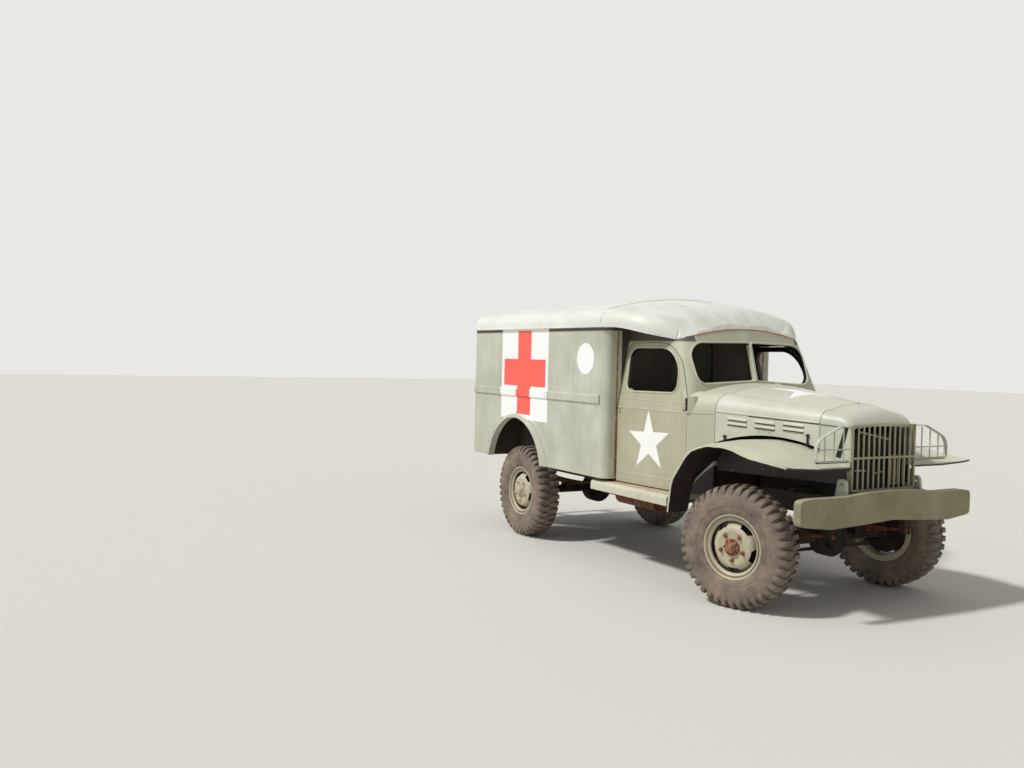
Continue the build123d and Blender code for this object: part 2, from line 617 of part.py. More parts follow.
def crown_section(x, half, low, bead, crown, inset=0):
    """A whole front-view section: sides, rounded shoulders and a crown, drawn in by an inset."""
    rise = crown - bead
    half_in, bead_in, crown_in = half - inset, bead - inset * BEAD_INSET_SHARE, crown - inset
    shoulder_y, shoulder_z = half_in * SHOULDER_SHARE, crown_in - rise * SHOULDER_DROP_SHARE
    side_mid = (half_in * BULGE_SHARE, bead_in + (shoulder_z - bead_in) * BULGE_RISE_SHARE)
    crown_arc = ThreePointArc((-shoulder_y, shoulder_z), (0, crown_in), (shoulder_y, shoulder_z))
    right = ThreePointArc((-half_in, bead_in), (-side_mid[0], side_mid[1]), (-shoulder_y, shoulder_z))
    left = ThreePointArc((shoulder_y, shoulder_z), side_mid, (half_in, bead_in))
    edges = [Line((-half_in, low), (-half_in, bead_in)), right, crown_arc, left,
             Line((half_in, bead_in), (half_in, low)), Line((half_in, low), (-half_in, low))]
    return Plane.YZ.offset(x) * make_face(edges)


def crown_shell(rows, wall, ruled=True):
    """A shell lofted through rows of x, half width, low edge, bead, crown, open at both ends and below."""
    outer = loft([crown_section(*row) for row in rows], ruled=ruled)
    inner = loft([crown_section(*row, wall) for row in rows], ruled=ruled)
    return outer, outer - inner


HOOD_LOW_Z = 1145
HOOD_BEAD_Z = 1405
HOOD_CROWN_Z = 1616
HOOD_REAR = (HOOD_REAR_X, HOOD_REAR_HALF, HOOD_LOW_Z, HOOD_BEAD_Z, HOOD_CROWN_Z)
HOOD_FRONT = (HOOD_FRONT_X, hood_half_width(HOOD_FRONT_X), HOOD_LOW_Z, 1375, 1508)
hood_outer, hood_shell = crown_shell([HOOD_REAR, HOOD_FRONT], HOOD_WALL)
arch_low = ThreePointArc((HOOD_REAR_X - 10, 1150), (HOOD_REAR_X + 470, 1244), (HOOD_FRONT_X + 10, 1180))
arch_edges = [arch_low, Line(arch_low @ 1, (HOOD_FRONT_X + 10, 1000)),
              Line((HOOD_FRONT_X + 10, 1000), (HOOD_REAR_X - 10, 1000)), Line((HOOD_REAR_X - 10, 1000), arch_low @ 0)]
arch_cut = extrude(Plane.XZ.offset(-900) * make_face(arch_edges), 1800)
hood_shell -= arch_cut
hood_shell &= block((HOOD_REAR_X + GAP, -900, 900), (HOOD_FRONT_X - GAP, 900, 1800))

HOOD_HINGE_RADIUS = 8
HOOD_HINGE_RISE = 3
HOOD_EDGE_Y = 3


def hood_hinge_rod(radius):
    """A bar along the hood's ridge, on the line that both halves turn about."""
    rear = Vector(HOOD_REAR_X, 0, HOOD_REAR[4] + HOOD_HINGE_RISE)
    front = Vector(HOOD_FRONT_X, 0, HOOD_FRONT[4] + HOOD_HINGE_RISE)
    ahead = (front - rear).normalized() * 20
    return rod(tuple(rear - ahead), tuple(front + ahead), radius)


hood_right = hood_shell & block((HOOD_REAR_X, -900, 900), (HOOD_FRONT_X, -HOOD_EDGE_Y, 1800))
hood_right -= hood_hinge_rod(HOOD_HINGE_RADIUS + SEAT)
keep("hood_right", hood_right)
keep("hood_left", mirrored(hood_right))
keep("hood_hinge", hood_hinge_rod(HOOD_HINGE_RADIUS) & block((HOOD_REAR_X, -50, 1400), (HOOD_FRONT_X, 50, 1800)))

GRILLE_HALF = 318
GRILLE_FLANGE = 45
BAR_RADIUS = 7
GRILLE_EDGE = GRILLE_HALF + BAR_RADIUS

# Front fenders: one arched strip from cab to grille, wider down its outer edge

FENDER_ROWS = [  # x from the front axle, height at the outer edge, height inboard, radius
    (-664, 600, 600, 0),
    (-630, 850, 850, 240),
    (-425, 1112, 1128, 300),
    (-205, 1174, 1205, 400),
    (30, 1176, 1222, 600),
    (230, 1126, 1196, 500),
    (614, 1092, 1069, 0),
]
FENDER_STATIONS = [  # distance from the centre line, share of the way from inboard to outer edge
    (300, 0.0),
    (640, 0.0),
    (880, 0.62),
    (FENDER_HALF, 1.0),
]


def fender_chain(share, lift=0):
    return [(FRONT_AXLE_X + dx, outer * share + inner * (1 - share) + lift, radius)
            for dx, outer, inner, radius in FENDER_ROWS]


def fender_section(y, share):
    return rounded_face(Plane.XZ.offset(-y), strip_corners(fender_chain(share), FENDER_WALL))


SPLASH_Z = 940
DOOR_ROOM = 14
UNDER_HOOD = 24


def make_fender():
    fender = loft([fender_section(y, share) for y, share in FENDER_STATIONS], ruled=True)
    fender -= prism_xy([(COWL_REAR_X - 200, 0, 0), (COWL_REAR_X - 200, CAB_FRONT_HALF + DOOR_ROOM, 0),
                        (COWL_REAR_X, CAB_FRONT_HALF + DOOR_ROOM, 0), (COWL_REAR_X, CAB_FRONT_HALF + SEAT, 0),
                        (HOOD_REAR_X + SEAT, HOOD_REAR_HALF + SEAT, 0),
                        (HOOD_REAR_X + SEAT, HOOD_REAR_HALF - UNDER_HOOD, 0),
                        (NOSE_X - 60, hood_half_width(NOSE_X - 60) - UNDER_HOOD, 0),
                        (NOSE_X - 60, GRILLE_EDGE + SEAT, 0), (FENDER_FRONT_X + 10, GRILLE_EDGE + SEAT, 0),
                        (FENDER_FRONT_X + 10, 0, 0)], 300, 1500)
    wall = prism_xy([(HOOD_REAR_X + 20, HOOD_REAR_HALF - 24, 0), (HOOD_REAR_X + 20, HOOD_REAR_HALF - 24 - 20, 0),
                     (NOSE_X, NOSE_HALF - 44, 0), (NOSE_X, NOSE_HALF - 24, 0)], SPLASH_Z, 1400)
    under = fender_chain(0, -1) + [(FENDER_FRONT_X, 300, 0), (FRONT_AXLE_X - 664, 300, 0)]
    wall &= prism_xz(under, 200, 700)
    return fender + wall


fender_left = make_fender()
keep("fender_left", fender_left)
keep("fender_right", mirrored(fender_left))

NOSE_ROWS = [  # x, half width, low edge, bead height, crown height
    (HOOD_FRONT_X, hood_half_width(HOOD_FRONT_X), 1040, 1375, 1508),
    (HOOD_FRONT_X + 110, hood_half_width(HOOD_FRONT_X + 110), 1040, 1369, 1484),
    (HOOD_FRONT_X + 185, hood_half_width(HOOD_FRONT_X + 185), 1040, 1356, 1446),
    (NOSE_X, NOSE_HALF, 1040, 1330, 1378),
]
nose_outer, nose_shell = crown_shell(NOSE_ROWS, HOOD_WALL, ruled=False)
nose_low = fender_chain(0, SEAT) + [(FENDER_FRONT_X, 300, 0), (FRONT_AXLE_X - 664, 300, 0)]
nose = nose_shell - prism_xz(nose_low, -700, 700)
keep("nose_panel", nose)

# Grille and lamp guards

BAR_COUNT = 13
GRILLE_BOTTOM_Z = 904
GRILLE_TOP_Z = 1364
pitch = 2 * GRILLE_HALF / (BAR_COUNT - 1)
grille = None
for index in range(BAR_COUNT):
    y = -GRILLE_HALF + index * pitch
    bar = rod((GRILLE_X, y, GRILLE_BOTTOM_Z), (GRILLE_X, y, GRILLE_TOP_Z), BAR_RADIUS)
    grille = bar if grille is None else grille + bar
for z in (GRILLE_BOTTOM_Z, (GRILLE_BOTTOM_Z + GRILLE_TOP_Z) / 2, GRILLE_TOP_Z):
    grille += block((GRILLE_X - 14, -GRILLE_EDGE, z - 7), (GRILLE_X + 2, GRILLE_EDGE, z + 7))
for side in (-1, 1):
    y = side * GRILLE_HALF
    grille += block((GRILLE_X - GRILLE_FLANGE, y - 4, GRILLE_BOTTOM_Z - 7), (GRILLE_X + 4, y + 4, GRILLE_TOP_Z + 7))
grille -= nose_outer
keep("grille", grille)

GUARD_BAND = 28
GUARD_WALL = 7
GUARD_OUTER_Y = 674
GUARD_LOW_Z = 1112


def make_guard():
    inner_y = GRILLE_EDGE + SEAT
    chain = [(inner_y, GUARD_LOW_Z, 0), (GUARD_OUTER_Y, GUARD_LOW_Z, 26), (GUARD_OUTER_Y, 1262, 110),
             (inner_y + 120, 1362, 140), (inner_y, 1366, 0)]
    band = prism_yz(strip_corners(chain, -GUARD_WALL), NOSE_X + SEAT, NOSE_X + SEAT + GUARD_BAND)
    middle_x = NOSE_X + SEAT + GUARD_BAND / 2
    for y, top in ((GUARD_OUTER_Y - 90, 1286), (GUARD_OUTER_Y - 180, 1326), (GUARD_OUTER_Y - 270, 1350)):
        band += rod((middle_x, y, GUARD_LOW_Z), (middle_x, y, top), 5)
    return band + rod((middle_x, inner_y, 1200), (middle_x, GUARD_OUTER_Y, 1200), 5)


keep("lamp_guards", both_sides(make_guard()))

# Cab: cowl, upper shell with the windscreen frame, floor, firewall and seat boxes

SIDE_TURN = math.degrees(math.atan2(CAB_REAR_HALF - CAB_FRONT_HALF, CAB_SIDE_LENGTH))


def cab_side_y(x, z):
    """The cab side's distance from the centre line at a station and height."""
    y = CAB_REAR_HALF - (x - BOX_FRONT_X) * math.tan(math.radians(SIDE_TURN))
    lean = max(0, z - BELT_Z) / (TUMBLEHOME_TOP_Z - BELT_Z) * TUMBLEHOME
    return y - lean


COWL_TOP_X = BOX_FRONT_X + 790
COWL_CROWN_Z = 1622
COWL_ROWS = [  # x, half width, low edge, bead height, crown height
    (COWL_TOP_X, cab_side_y(COWL_TOP_X, BELT_Z), DOOR_BOTTOM_Z, HOOD_BEAD_Z, COWL_CROWN_Z),
    (COWL_REAR_X, CAB_FRONT_HALF, DOOR_BOTTOM_Z, HOOD_BEAD_Z, COWL_CROWN_Z),
    (HOOD_REAR_X, HOOD_REAR_HALF, DOOR_BOTTOM_Z, HOOD_BEAD_Z, HOOD_CROWN_Z),
]
cowl_outer, cowl = crown_shell(COWL_ROWS, CAB_WALL)
cowl_inner = cowl_outer - cowl

CAB_ROWS = [  # height, windscreen centre from the box front, corner from the box front, pillar radius
    (BELT_Z, 908, 884, 12),
    (1560, 853, 834, 105),
    (TUMBLEHOME_TOP_Z, 674, 613, 171),
]
LEAST_RADIUS = 4


def cab_outline(row, inset):
    """The cab's plan at a height: two sides, rounded pillars and a veed windscreen."""
    z, centre, corner, pillar = row
    centre_x, corner_x = BOX_FRONT_X + centre - inset, BOX_FRONT_X + corner
    corner_y = cab_side_y(corner_x, z) - inset
    rear_y = cab_side_y(BOX_FRONT_X, z) - inset
    radius = max(pillar - inset, LEAST_RADIUS)
    return [(BOX_FRONT_X, -rear_y, 0), (corner_x - inset, -corner_y, radius), (centre_x, 0, 0),
            (corner_x - inset, corner_y, radius), (BOX_FRONT_X, rear_y, 0)]


def cab_loft(inset):
    return loft([rounded_face(Plane.XY.offset(row[0]), cab_outline(row, inset)) for row in CAB_ROWS], ruled=True)


cab_shell = cab_loft(0) - cab_loft(CAB_WALL)


DOOR_REAR_GAP = 11
DOOR_REAR_U = DOOR_REAR_GAP
DOOR_FRONT_U = CAB_SIDE_LENGTH
DOOR_RAKE = 236
DOOR_HOLE_DEPTH = 230


def door_outline(grow):
    """The door's side view: distance along the cab side, height, radius."""
    return [(DOOR_REAR_U - grow, DOOR_BOTTOM_Z - grow, 0), (DOOR_FRONT_U + grow, DOOR_BOTTOM_Z - grow, 0),
            (DOOR_FRONT_U + grow, BELT_Z + 16, 250), (DOOR_FRONT_U - DOOR_RAKE + grow, DOOR_TOP_Z + grow, 330),
            (DOOR_REAR_U - grow, DOOR_TOP_Z - 8 + grow, 110)]


def window_outline():
    return [(92, 1528, 74), (704, 1536, 60), (692, 1894, 260), (60, 1892, 84)]


def on_cab_side(shape):
    """Places a left-side piece, drawn along X with its outer face at Y = 0, on the cab's side."""
    return Pos(BOX_FRONT_X, CAB_REAR_HALF, 0) * Rot(0, 0, -SIDE_TURN) * shape


DOOR_HINGES = (900, 1395)  # height of each barrel's lower end
BARREL_HEIGHT = 104
BARREL_RADIUS = 9
BARREL_U = DOOR_FRONT_U + 4
EAR_HEIGHT = 13
STRAP_REAR_U = DOOR_FRONT_U - 62

side_view = prism_xz(door_outline(0), -DOOR_HOLE_DEPTH, 60)
door_low = side_view & block((0, -CAB_WALL, DOOR_BOTTOM_Z - 1), (2 * DOOR_FRONT_U, 0, BELT_Z))
window_hole = on_cab_side(prism_xz(window_outline(), -DOOR_HOLE_DEPTH, 60))
door_panel = on_cab_side(door_low) + (on_cab_side(side_view) & cab_shell) - window_hole
door_straps = None
hinge_leaves = None
for low_z in DOOR_HINGES:
    high_z = low_z + BARREL_HEIGHT
    strap = rod((BARREL_U, HINGE_PROUD, low_z), (BARREL_U, HINGE_PROUD, high_z), BARREL_RADIUS)
    strap += block((STRAP_REAR_U, -30, low_z + 10), (STRAP_REAR_U + 24, HINGE_PROUD - 2, high_z - 10))
    strap += block((STRAP_REAR_U + 20, 2, low_z + 10), (BARREL_U, HINGE_PROUD, high_z - 10))
    door_straps = strap if door_straps is None else door_straps + strap
    leaf = prism_xy([(BARREL_U + 11, HINGE_PROUD, 0), (BARREL_U + 11, -62, 0), (BARREL_U + 44, -62, 0),
                     (BARREL_U + 44, -26, 0), (BARREL_U + 16, HINGE_PROUD, 0)],
                    low_z - EAR_HEIGHT, high_z + EAR_HEIGHT)
    for ear_z in (low_z - SEAT - EAR_HEIGHT, high_z + SEAT):
        leaf += rod((BARREL_U, HINGE_PROUD, ear_z), (BARREL_U, HINGE_PROUD, ear_z + EAR_HEIGHT), BARREL_RADIUS)
        leaf += block((BARREL_U, HINGE_PROUD - BARREL_RADIUS + 1, ear_z),
                      (BARREL_U + 14, HINGE_PROUD, ear_z + EAR_HEIGHT))
    hinge_leaves = leaf if hinge_leaves is None else hinge_leaves + leaf
door_left = door_panel + on_cab_side(door_straps)
door_hole = on_cab_side(prism_xz(door_outline(GAP), -DOOR_HOLE_DEPTH, 200))
door_holes = door_hole + mirrored(door_hole)
leaf_left = on_cab_side(hinge_leaves) - cowl_inner
keep("cowl", cowl - door_holes + leaf_left + mirrored(leaf_left))
keep("cab_door_left", door_left)
keep("cab_door_right", mirrored(door_left))

cab_upper = cab_shell - door_holes

PANE_INNER_Y = 14
PANE_OUTER_Y = 600
PANE_LOW_Z = 1644
PANE_TOP_Z = 1952
pane = prism_yz([(PANE_INNER_Y, PANE_LOW_Z, 15), (PANE_OUTER_Y, PANE_LOW_Z - 32, 80),
                 (PANE_OUTER_Y + 22, PANE_TOP_Z - 12, 130), (PANE_INNER_Y, PANE_TOP_Z, 15)],
                BOX_FRONT_X + 200, BOX_FRONT_X + 1200)
cab_upper -= pane + mirrored(pane)

# Side walls' plan, shared by the roof, floor and lockers


def box_plan():
    """Plan of one side wall with its rounded front corner: x, y, radius."""
    return [(BOX_REAR_X, BOX_HALF_WIDTH, 0), (BOX_FRONT_X, BOX_HALF_WIDTH, BOX_CORNER_RADIUS),
            (BOX_FRONT_X, CAB_REAR_HALF - CAB_WALL, 0)]


side_wall = prism_xy(strip_corners(box_plan(), BOX_WALL), BOX_BOTTOM_Z, BOX_SIDE_TOP_Z)

# Roof: a constant section over the box and a domed front part over the cab


def roof_section(x, half, edge, shoulder_y, shoulder_z, crown, inset=0, skirt=0):
    """Front-view roof section: upright edges, rounded shoulders and a crown, drawn in by an inset."""
    base = edge - skirt
    half, shoulder_y = half - inset, shoulder_y - inset * 0.8
    shoulder_z, crown = shoulder_z - inset * 0.9, crown - inset
    lip = edge + 26
    rise = shoulder_z - lip
    bulge = ((half * 2 + shoulder_y) / 3 + 0.11 * rise, (lip + shoulder_z) / 2 + 0.09 * rise)
    right = ThreePointArc((-half, lip), (-bulge[0], bulge[1]), (-shoulder_y, shoulder_z))
    top = ThreePointArc((-shoulder_y, shoulder_z), (0, crown), (shoulder_y, shoulder_z))
    left = ThreePointArc((shoulder_y, shoulder_z), bulge, (half, lip))
    edges = [Line((-half, base), (-half, lip)), right, top, left, Line((half, lip), (half, base)),
             Line((half, base), (-half, base))]
    return Plane.YZ.offset(x) * make_face(edges)


ROOF_HALF = BOX_HALF_WIDTH + DRIP_PROUD
ROOF_BASE = (ROOF_HALF, BOX_SIDE_TOP_Z, ROOF_HALF - ROOF_SHOULDER_IN, BOX_SIDE_TOP_Z + ROOF_SHOULDER_RISE,
             BOX_SIDE_TOP_Z + ROOF_CROWN_RISE)
roof_outer = extrude(roof_section(BOX_REAR_X, *ROOF_BASE), ROOF_SEAM_X - BOX_REAR_X)
roof_inner = extrude(roof_section(BOX_REAR_X - 1, *ROOF_BASE, ROOF_WALL + DRIP_PROUD), ROOF_SEAM_X - BOX_REAR_X + 2)
roof_rear = roof_outer - roof_inner
keep("roof_rear", roof_rear)

ROOF_ROWS = [  # x from the box front, edge in, edge rise, shoulder in, shoulder rise, crown rise
    (-ROOF_SEAM_SETBACK, 0, 0, ROOF_SHOULDER_IN, ROOF_SHOULDER_RISE, ROOF_CROWN_RISE),
    (40, 7, 0, 123, 166, 264),
    (252, 65, -22, 190, 144, 237),
    (476, 185, -72, 325, 92, 194),
    (580, 285, -97, 425, 36, 146),
    (660, 365, -118, 535, -12, 72),
    (704, 455, -128, 650, -38, -2),
]
DOME_SKIRT = 20


def dome_section(row, inset=0, skirt=0):
    x, edge_in, edge_rise, shoulder_in, shoulder_rise, crown_rise = row
    return roof_section(BOX_FRONT_X + x, ROOF_HALF - edge_in, BOX_SIDE_TOP_Z + edge_rise, ROOF_HALF - shoulder_in,
                        BOX_SIDE_TOP_Z + shoulder_rise, BOX_SIDE_TOP_Z + crown_rise, inset, skirt)


dome_outer = loft([dome_section(row) for row in ROOF_ROWS], ruled=False)
dome_inner = loft([dome_section(row, ROOF_WALL, DOME_SKIRT) for row in ROOF_ROWS[:-1]], ruled=False)
HEADER_HALF = 760
HEADER_END_Z = 1941
HEADER_TOP_Z = 2066
HEADER_REAR_X = BOX_FRONT_X + 590
HEADER_REAR_Z = 2000
ROOF_TUCK = 16
header_arc = ThreePointArc((-HEADER_HALF, HEADER_END_Z), (0, HEADER_TOP_Z), (HEADER_HALF, HEADER_END_Z))
header_face = make_face([header_arc, Line((HEADER_HALF, HEADER_END_Z), (HEADER_HALF, BELT_Z)),
                         Line((HEADER_HALF, BELT_Z), (-HEADER_HALF, BELT_Z)),
                         Line((-HEADER_HALF, BELT_Z), (-HEADER_HALF, HEADER_END_Z))])
header_cut = extrude(Plane.YZ.offset(HEADER_REAR_X) * header_face, CAB_SIDE_LENGTH)
cab_ahead = block((HEADER_REAR_X, -HEADER_HALF, BELT_Z),
                  (HEADER_REAR_X + CAB_SIDE_LENGTH, HEADER_HALF, TUMBLEHOME_TOP_Z))
roof_front = dome_outer - dome_inner - header_cut - side_wall - mirrored(side_wall)
roof_front -= cab_ahead - cab_loft(0)
keep("roof_front", roof_front)

under_roof = prism_xz([(BOX_FRONT_X, BELT_Z, 0), (HEADER_REAR_X, BELT_Z, 0), (HEADER_REAR_X, HEADER_REAR_Z, 0),
                       (BOX_FRONT_X, BOX_SIDE_TOP_Z + ROOF_TUCK, 0)], -CAB_REAR_HALF, CAB_REAR_HALF)
cab_upper &= header_cut + under_roof
cab_upper -= dome_outer - header_cut
cab_upper -= cowl_outer
keep("cab_upper", cab_upper)

CAB_FLOOR_Z = RAIL_TOP_Z + SEAT
FIREWALL_WALL = 20
floor_half_rear = CAB_REAR_HALF - CAB_WALL - GAP
floor_half_front = CAB_FRONT_HALF - CAB_WALL - GAP
cowl_half_front = HOOD_REAR_HALF - CAB_WALL
cab_floor = prism_xy([(BOX_FRONT_X, -floor_half_rear, 0), (COWL_REAR_X, -floor_half_front, 0),
                      (HOOD_REAR_X - FIREWALL_WALL, -cowl_half_front - 12, 0),
                      (HOOD_REAR_X - FIREWALL_WALL, cowl_half_front + 12, 0),
                      (COWL_REAR_X, floor_half_front, 0), (BOX_FRONT_X, floor_half_rear, 0)],
                     CAB_FLOOR_Z, CAB_FLOOR_Z + FLOOR_THICKNESS)
keep("cab_floor", cab_floor)

firewall_face = crown_section(HOOD_REAR_X - FIREWALL_WALL, HOOD_REAR_HALF, CAB_FLOOR_Z, HOOD_BEAD_Z, HOOD_CROWN_Z,
                              CAB_WALL + 1)
keep("firewall", extrude(firewall_face, FIREWALL_WALL))

SEAT_BOX_HEIGHT = 290
SEAT_BOX_LENGTH = 430
SEAT_BOX_WIDTH = 480
seat_low = CAB_FLOOR_Z + FLOOR_THICKNESS
seat_box = block((BOX_FRONT_X + 60, 190, seat_low), (BOX_FRONT_X + 60 + SEAT_BOX_LENGTH, 190 + SEAT_BOX_WIDTH,
                                                    seat_low + SEAT_BOX_HEIGHT))
keep("seat_boxes", both_sides(seat_box))

# Box body


arch_hole = rod((ARCH_X, 500, ARCH_Z), (ARCH_X, 1200, ARCH_Z), ARCH_RADIUS)
flare_foot = Plane.XZ.offset(-BOX_HALF_WIDTH) * Pos(ARCH_X + FLARE_SHIFT, ARCH_Z - FLARE_DROP) * Circle(FLARE_RADIUS)
flare_edge = Plane.XZ.offset(-BOX_HALF_WIDTH - FLARE_PROUD) * Pos(ARCH_X, ARCH_Z) * Circle(ARCH_RADIUS + FLARE_LIP)
flare = loft([flare_foot, flare_edge], ruled=True)
flare -= block((ARCH_X - 900, 0, -900), (ARCH_X + 900, 1200, BOX_BOTTOM_Z))
body_side = side_wall + flare - arch_hole
keep("body_side_left", body_side)
keep("body_side_right", mirrored(body_side))

rail_corners = [(BOX_HALF_WIDTH, RUB_RAIL_Z - RUB_RAIL_HEIGHT / 2, 0),
                (BOX_HALF_WIDTH + RUB_RAIL_PROUD, RUB_RAIL_Z - RUB_RAIL_HEIGHT / 2, 12),
                (BOX_HALF_WIDTH + RUB_RAIL_PROUD, RUB_RAIL_Z + RUB_RAIL_HEIGHT / 2, 12),
                (BOX_HALF_WIDTH, RUB_RAIL_Z + RUB_RAIL_HEIGHT / 2, 0)]
rub_rail = prism_yz(rail_corners, BOX_REAR_X, BOX_FRONT_X - BOX_CORNER_RADIUS - 8)
keep("rub_rails", both_sides(rub_rail))

FLOOR_Z = RAIL_TOP_Z + SEAT
FLOOR_TOP_Z = FLOOR_Z + FLOOR_THICKNESS
FLOOR_HALF = BOX_HALF_WIDTH - BOX_WALL
LOCKER_Y = FLOOR_HALF - LOCKER_WIDTH
HOUSE_REAR_X = ARCH_X - ARCH_RADIUS - 30
HOUSE_FRONT_X = ARCH_X + ARCH_RADIUS + 30
body_floor = block((BOX_REAR_X + BOX_WALL, -FLOOR_HALF, FLOOR_Z), (BOX_FRONT_X - BOX_WALL, FLOOR_HALF, FLOOR_TOP_Z))
DECK_RISE = 4
DECK_HALF = LOCKER_Y - 2
body_floor += block((BOX_REAR_X + BOX_WALL, -DECK_HALF, FLOOR_TOP_Z),
                    (BOX_FRONT_X - BOX_WALL, DECK_HALF, FLOOR_TOP_Z + DECK_RISE))
for side in (-1, 1):
    near, far = sorted((side * LOCKER_Y, side * (FLOOR_HALF + 1)))
    body_floor -= block((HOUSE_REAR_X, near, FLOOR_Z - 1), (HOUSE_FRONT_X, far, FLOOR_TOP_Z + 1))
body_floor -= side_wall + mirrored(side_wall)
keep("body_floor", body_floor)

locker = block((BOX_REAR_X + BOX_WALL, LOCKER_Y, FLOOR_TOP_Z),
               (BOX_FRONT_X - BOX_WALL, LOCKER_Y + LOCKER_WALL, LOCKER_TOP_Z))
locker += block((BOX_REAR_X + BOX_WALL, LOCKER_Y, LOCKER_TOP_Z - LOCKER_WALL),
                (BOX_FRONT_X - BOX_WALL, FLOOR_HALF, LOCKER_TOP_Z))
for x in (HOUSE_REAR_X - LOCKER_WALL, HOUSE_FRONT_X):
    locker += block((x, LOCKER_Y, FLOOR_TOP_Z), (x + LOCKER_WALL, FLOOR_HALF, LOCKER_TOP_Z))
locker -= side_wall
keep("locker_left", locker)
keep("locker_right", mirrored(locker))

BULKHEAD_DOOR_HALF = 235
BULKHEAD_DOOR_LOW_Z = 1180
BULKHEAD_DOOR_TOP_Z = BOX_SIDE_TOP_Z - 108
bulkhead_half = CAB_REAR_HALF - CAB_WALL
bulkhead = block((BOX_FRONT_X - BOX_WALL, -bulkhead_half, FLOOR_Z), (BOX_FRONT_X, bulkhead_half, 2400))
bulkhead += block((BOX_FRONT_X - BOX_WALL, -FLOOR_HALF, BOX_SIDE_TOP_Z), (BOX_FRONT_X, FLOOR_HALF, 2400))
bulkhead &= dome_inner
bulkhead += block((BOX_FRONT_X - BOX_WALL, -bulkhead_half, FLOOR_Z), (BOX_FRONT_X, bulkhead_half, BOX_SIDE_TOP_Z + 1))
bulkhead -= prism_yz([(-BULKHEAD_DOOR_HALF, BULKHEAD_DOOR_LOW_Z, 60), (BULKHEAD_DOOR_HALF, BULKHEAD_DOOR_LOW_Z, 60),
                      (BULKHEAD_DOOR_HALF, BULKHEAD_DOOR_TOP_Z, 60), (-BULKHEAD_DOOR_HALF, BULKHEAD_DOOR_TOP_Z, 60)],
                     BOX_FRONT_X - 100, BOX_FRONT_X + 20)
keep("bulkhead", bulkhead - roof_front)

rear_wall_half = BOX_HALF_WIDTH - BOX_WALL
rear_frame = block((BOX_REAR_X, -rear_wall_half, BOX_BOTTOM_Z),
                   (BOX_REAR_X + BOX_WALL, rear_wall_half, BOX_SIDE_TOP_Z + 1))
rear_top = extrude(roof_section(BOX_REAR_X, *ROOF_BASE, ROOF_WALL + DRIP_PROUD), BOX_WALL)
rear_frame += rear_top
rear_frame -= block((BOX_REAR_X - 1, -REAR_DOOR_WIDTH - GAP, REAR_DOOR_BOTTOM_Z - GAP),
                    (BOX_REAR_X + BOX_WALL + 1, REAR_DOOR_WIDTH + GAP, REAR_DOOR_TOP_Z + GAP))
REAR_HINGES = (REAR_DOOR_BOTTOM_Z + 150, (REAR_DOOR_BOTTOM_Z + REAR_DOOR_TOP_Z) / 2, REAR_DOOR_TOP_Z - 150)
REAR_BARREL_HALF = 40
REAR_BARREL_X = BOX_REAR_X - HINGE_PROUD
REAR_BARREL_Y = REAR_DOOR_WIDTH + GAP / 2


def make_rear_leaf(z):
    """A hinge's fixed leaf, with an ear above and one below the door's barrel."""
    x, y = REAR_BARREL_X, REAR_BARREL_Y
    reach = REAR_BARREL_HALF + SEAT + EAR_HEIGHT
    leaf = block((x, y + BARREL_RADIUS + 3, z - reach), (BOX_REAR_X, y + 70, z + reach))
    for ear_z in (z - reach, z + REAR_BARREL_HALF + SEAT):
        leaf += rod((x, y, ear_z), (x, y, ear_z + EAR_HEIGHT), BARREL_RADIUS)
        leaf += block((x - BARREL_RADIUS, y, ear_z), (x + 4, y + 30, ear_z + EAR_HEIGHT))
    return leaf


for z in REAR_HINGES:
    leaf = make_rear_leaf(z)
    rear_frame += leaf + mirrored(leaf)
keep("rear_frame", rear_frame)

REAR_WINDOW_LOW_Z = 1560
REAR_WINDOW_TOP_Z = 1880


def make_rear_door():
    panel = block((BOX_REAR_X, GAP / 2, REAR_DOOR_BOTTOM_Z),
                  (BOX_REAR_X + BOX_WALL - 2, REAR_DOOR_WIDTH, REAR_DOOR_TOP_Z))
    panel -= prism_yz([(130, REAR_WINDOW_LOW_Z, 50), (REAR_DOOR_WIDTH - 110, REAR_WINDOW_LOW_Z, 50),
                       (REAR_DOOR_WIDTH - 110, REAR_WINDOW_TOP_Z, 50), (130, REAR_WINDOW_TOP_Z, 50)],
                      BOX_REAR_X - 10, BOX_REAR_X + BOX_WALL + 10)
    for z in REAR_HINGES:
        x, y = REAR_BARREL_X, REAR_BARREL_Y
        panel += rod((x, y, z - REAR_BARREL_HALF), (x, y, z + REAR_BARREL_HALF), BARREL_RADIUS)
        panel += block((x - 2, REAR_DOOR_WIDTH - 70, z - 30), (BOX_REAR_X, REAR_DOOR_WIDTH, z + 30))
    return panel


rear_door_left = make_rear_door()
keep("rear_door_left", rear_door_left)
keep("rear_door_right", mirrored(rear_door_left))

# Running boards

BOARD_OUTER_Y = 940
BOARD_INNER_Y = 720
BOARD_TOP_Z = 725
BOARD_LOW_Z = 643
BOARD_WALL = 22
BOARD_REAR_X = BOX_FRONT_X - 216
BOARD_FRONT_X = BOX_FRONT_X + 866


def make_board():
    chain = [(BOARD_INNER_Y, BOARD_TOP_Z, 0), (BOARD_OUTER_Y, BOARD_TOP_Z, 34), (BOARD_OUTER_Y, BOARD_LOW_Z, 0)]
    board = prism_yz(strip_corners(chain, BOARD_WALL), BOARD_REAR_X, BOARD_FRONT_X)
    for x in (BOARD_REAR_X + 160, BOARD_FRONT_X - 190):
        board += block((x - 25, RAIL_Y + RAIL_WIDTH / 2, BOARD_TOP_Z - BOARD_WALL - 50),
                       (x + 25, BOARD_OUTER_Y - 80, BOARD_TOP_Z - BOARD_WALL))
    return board


keep("running_boards", both_sides(make_board()))

# Rear step, stored folded up against its bracket

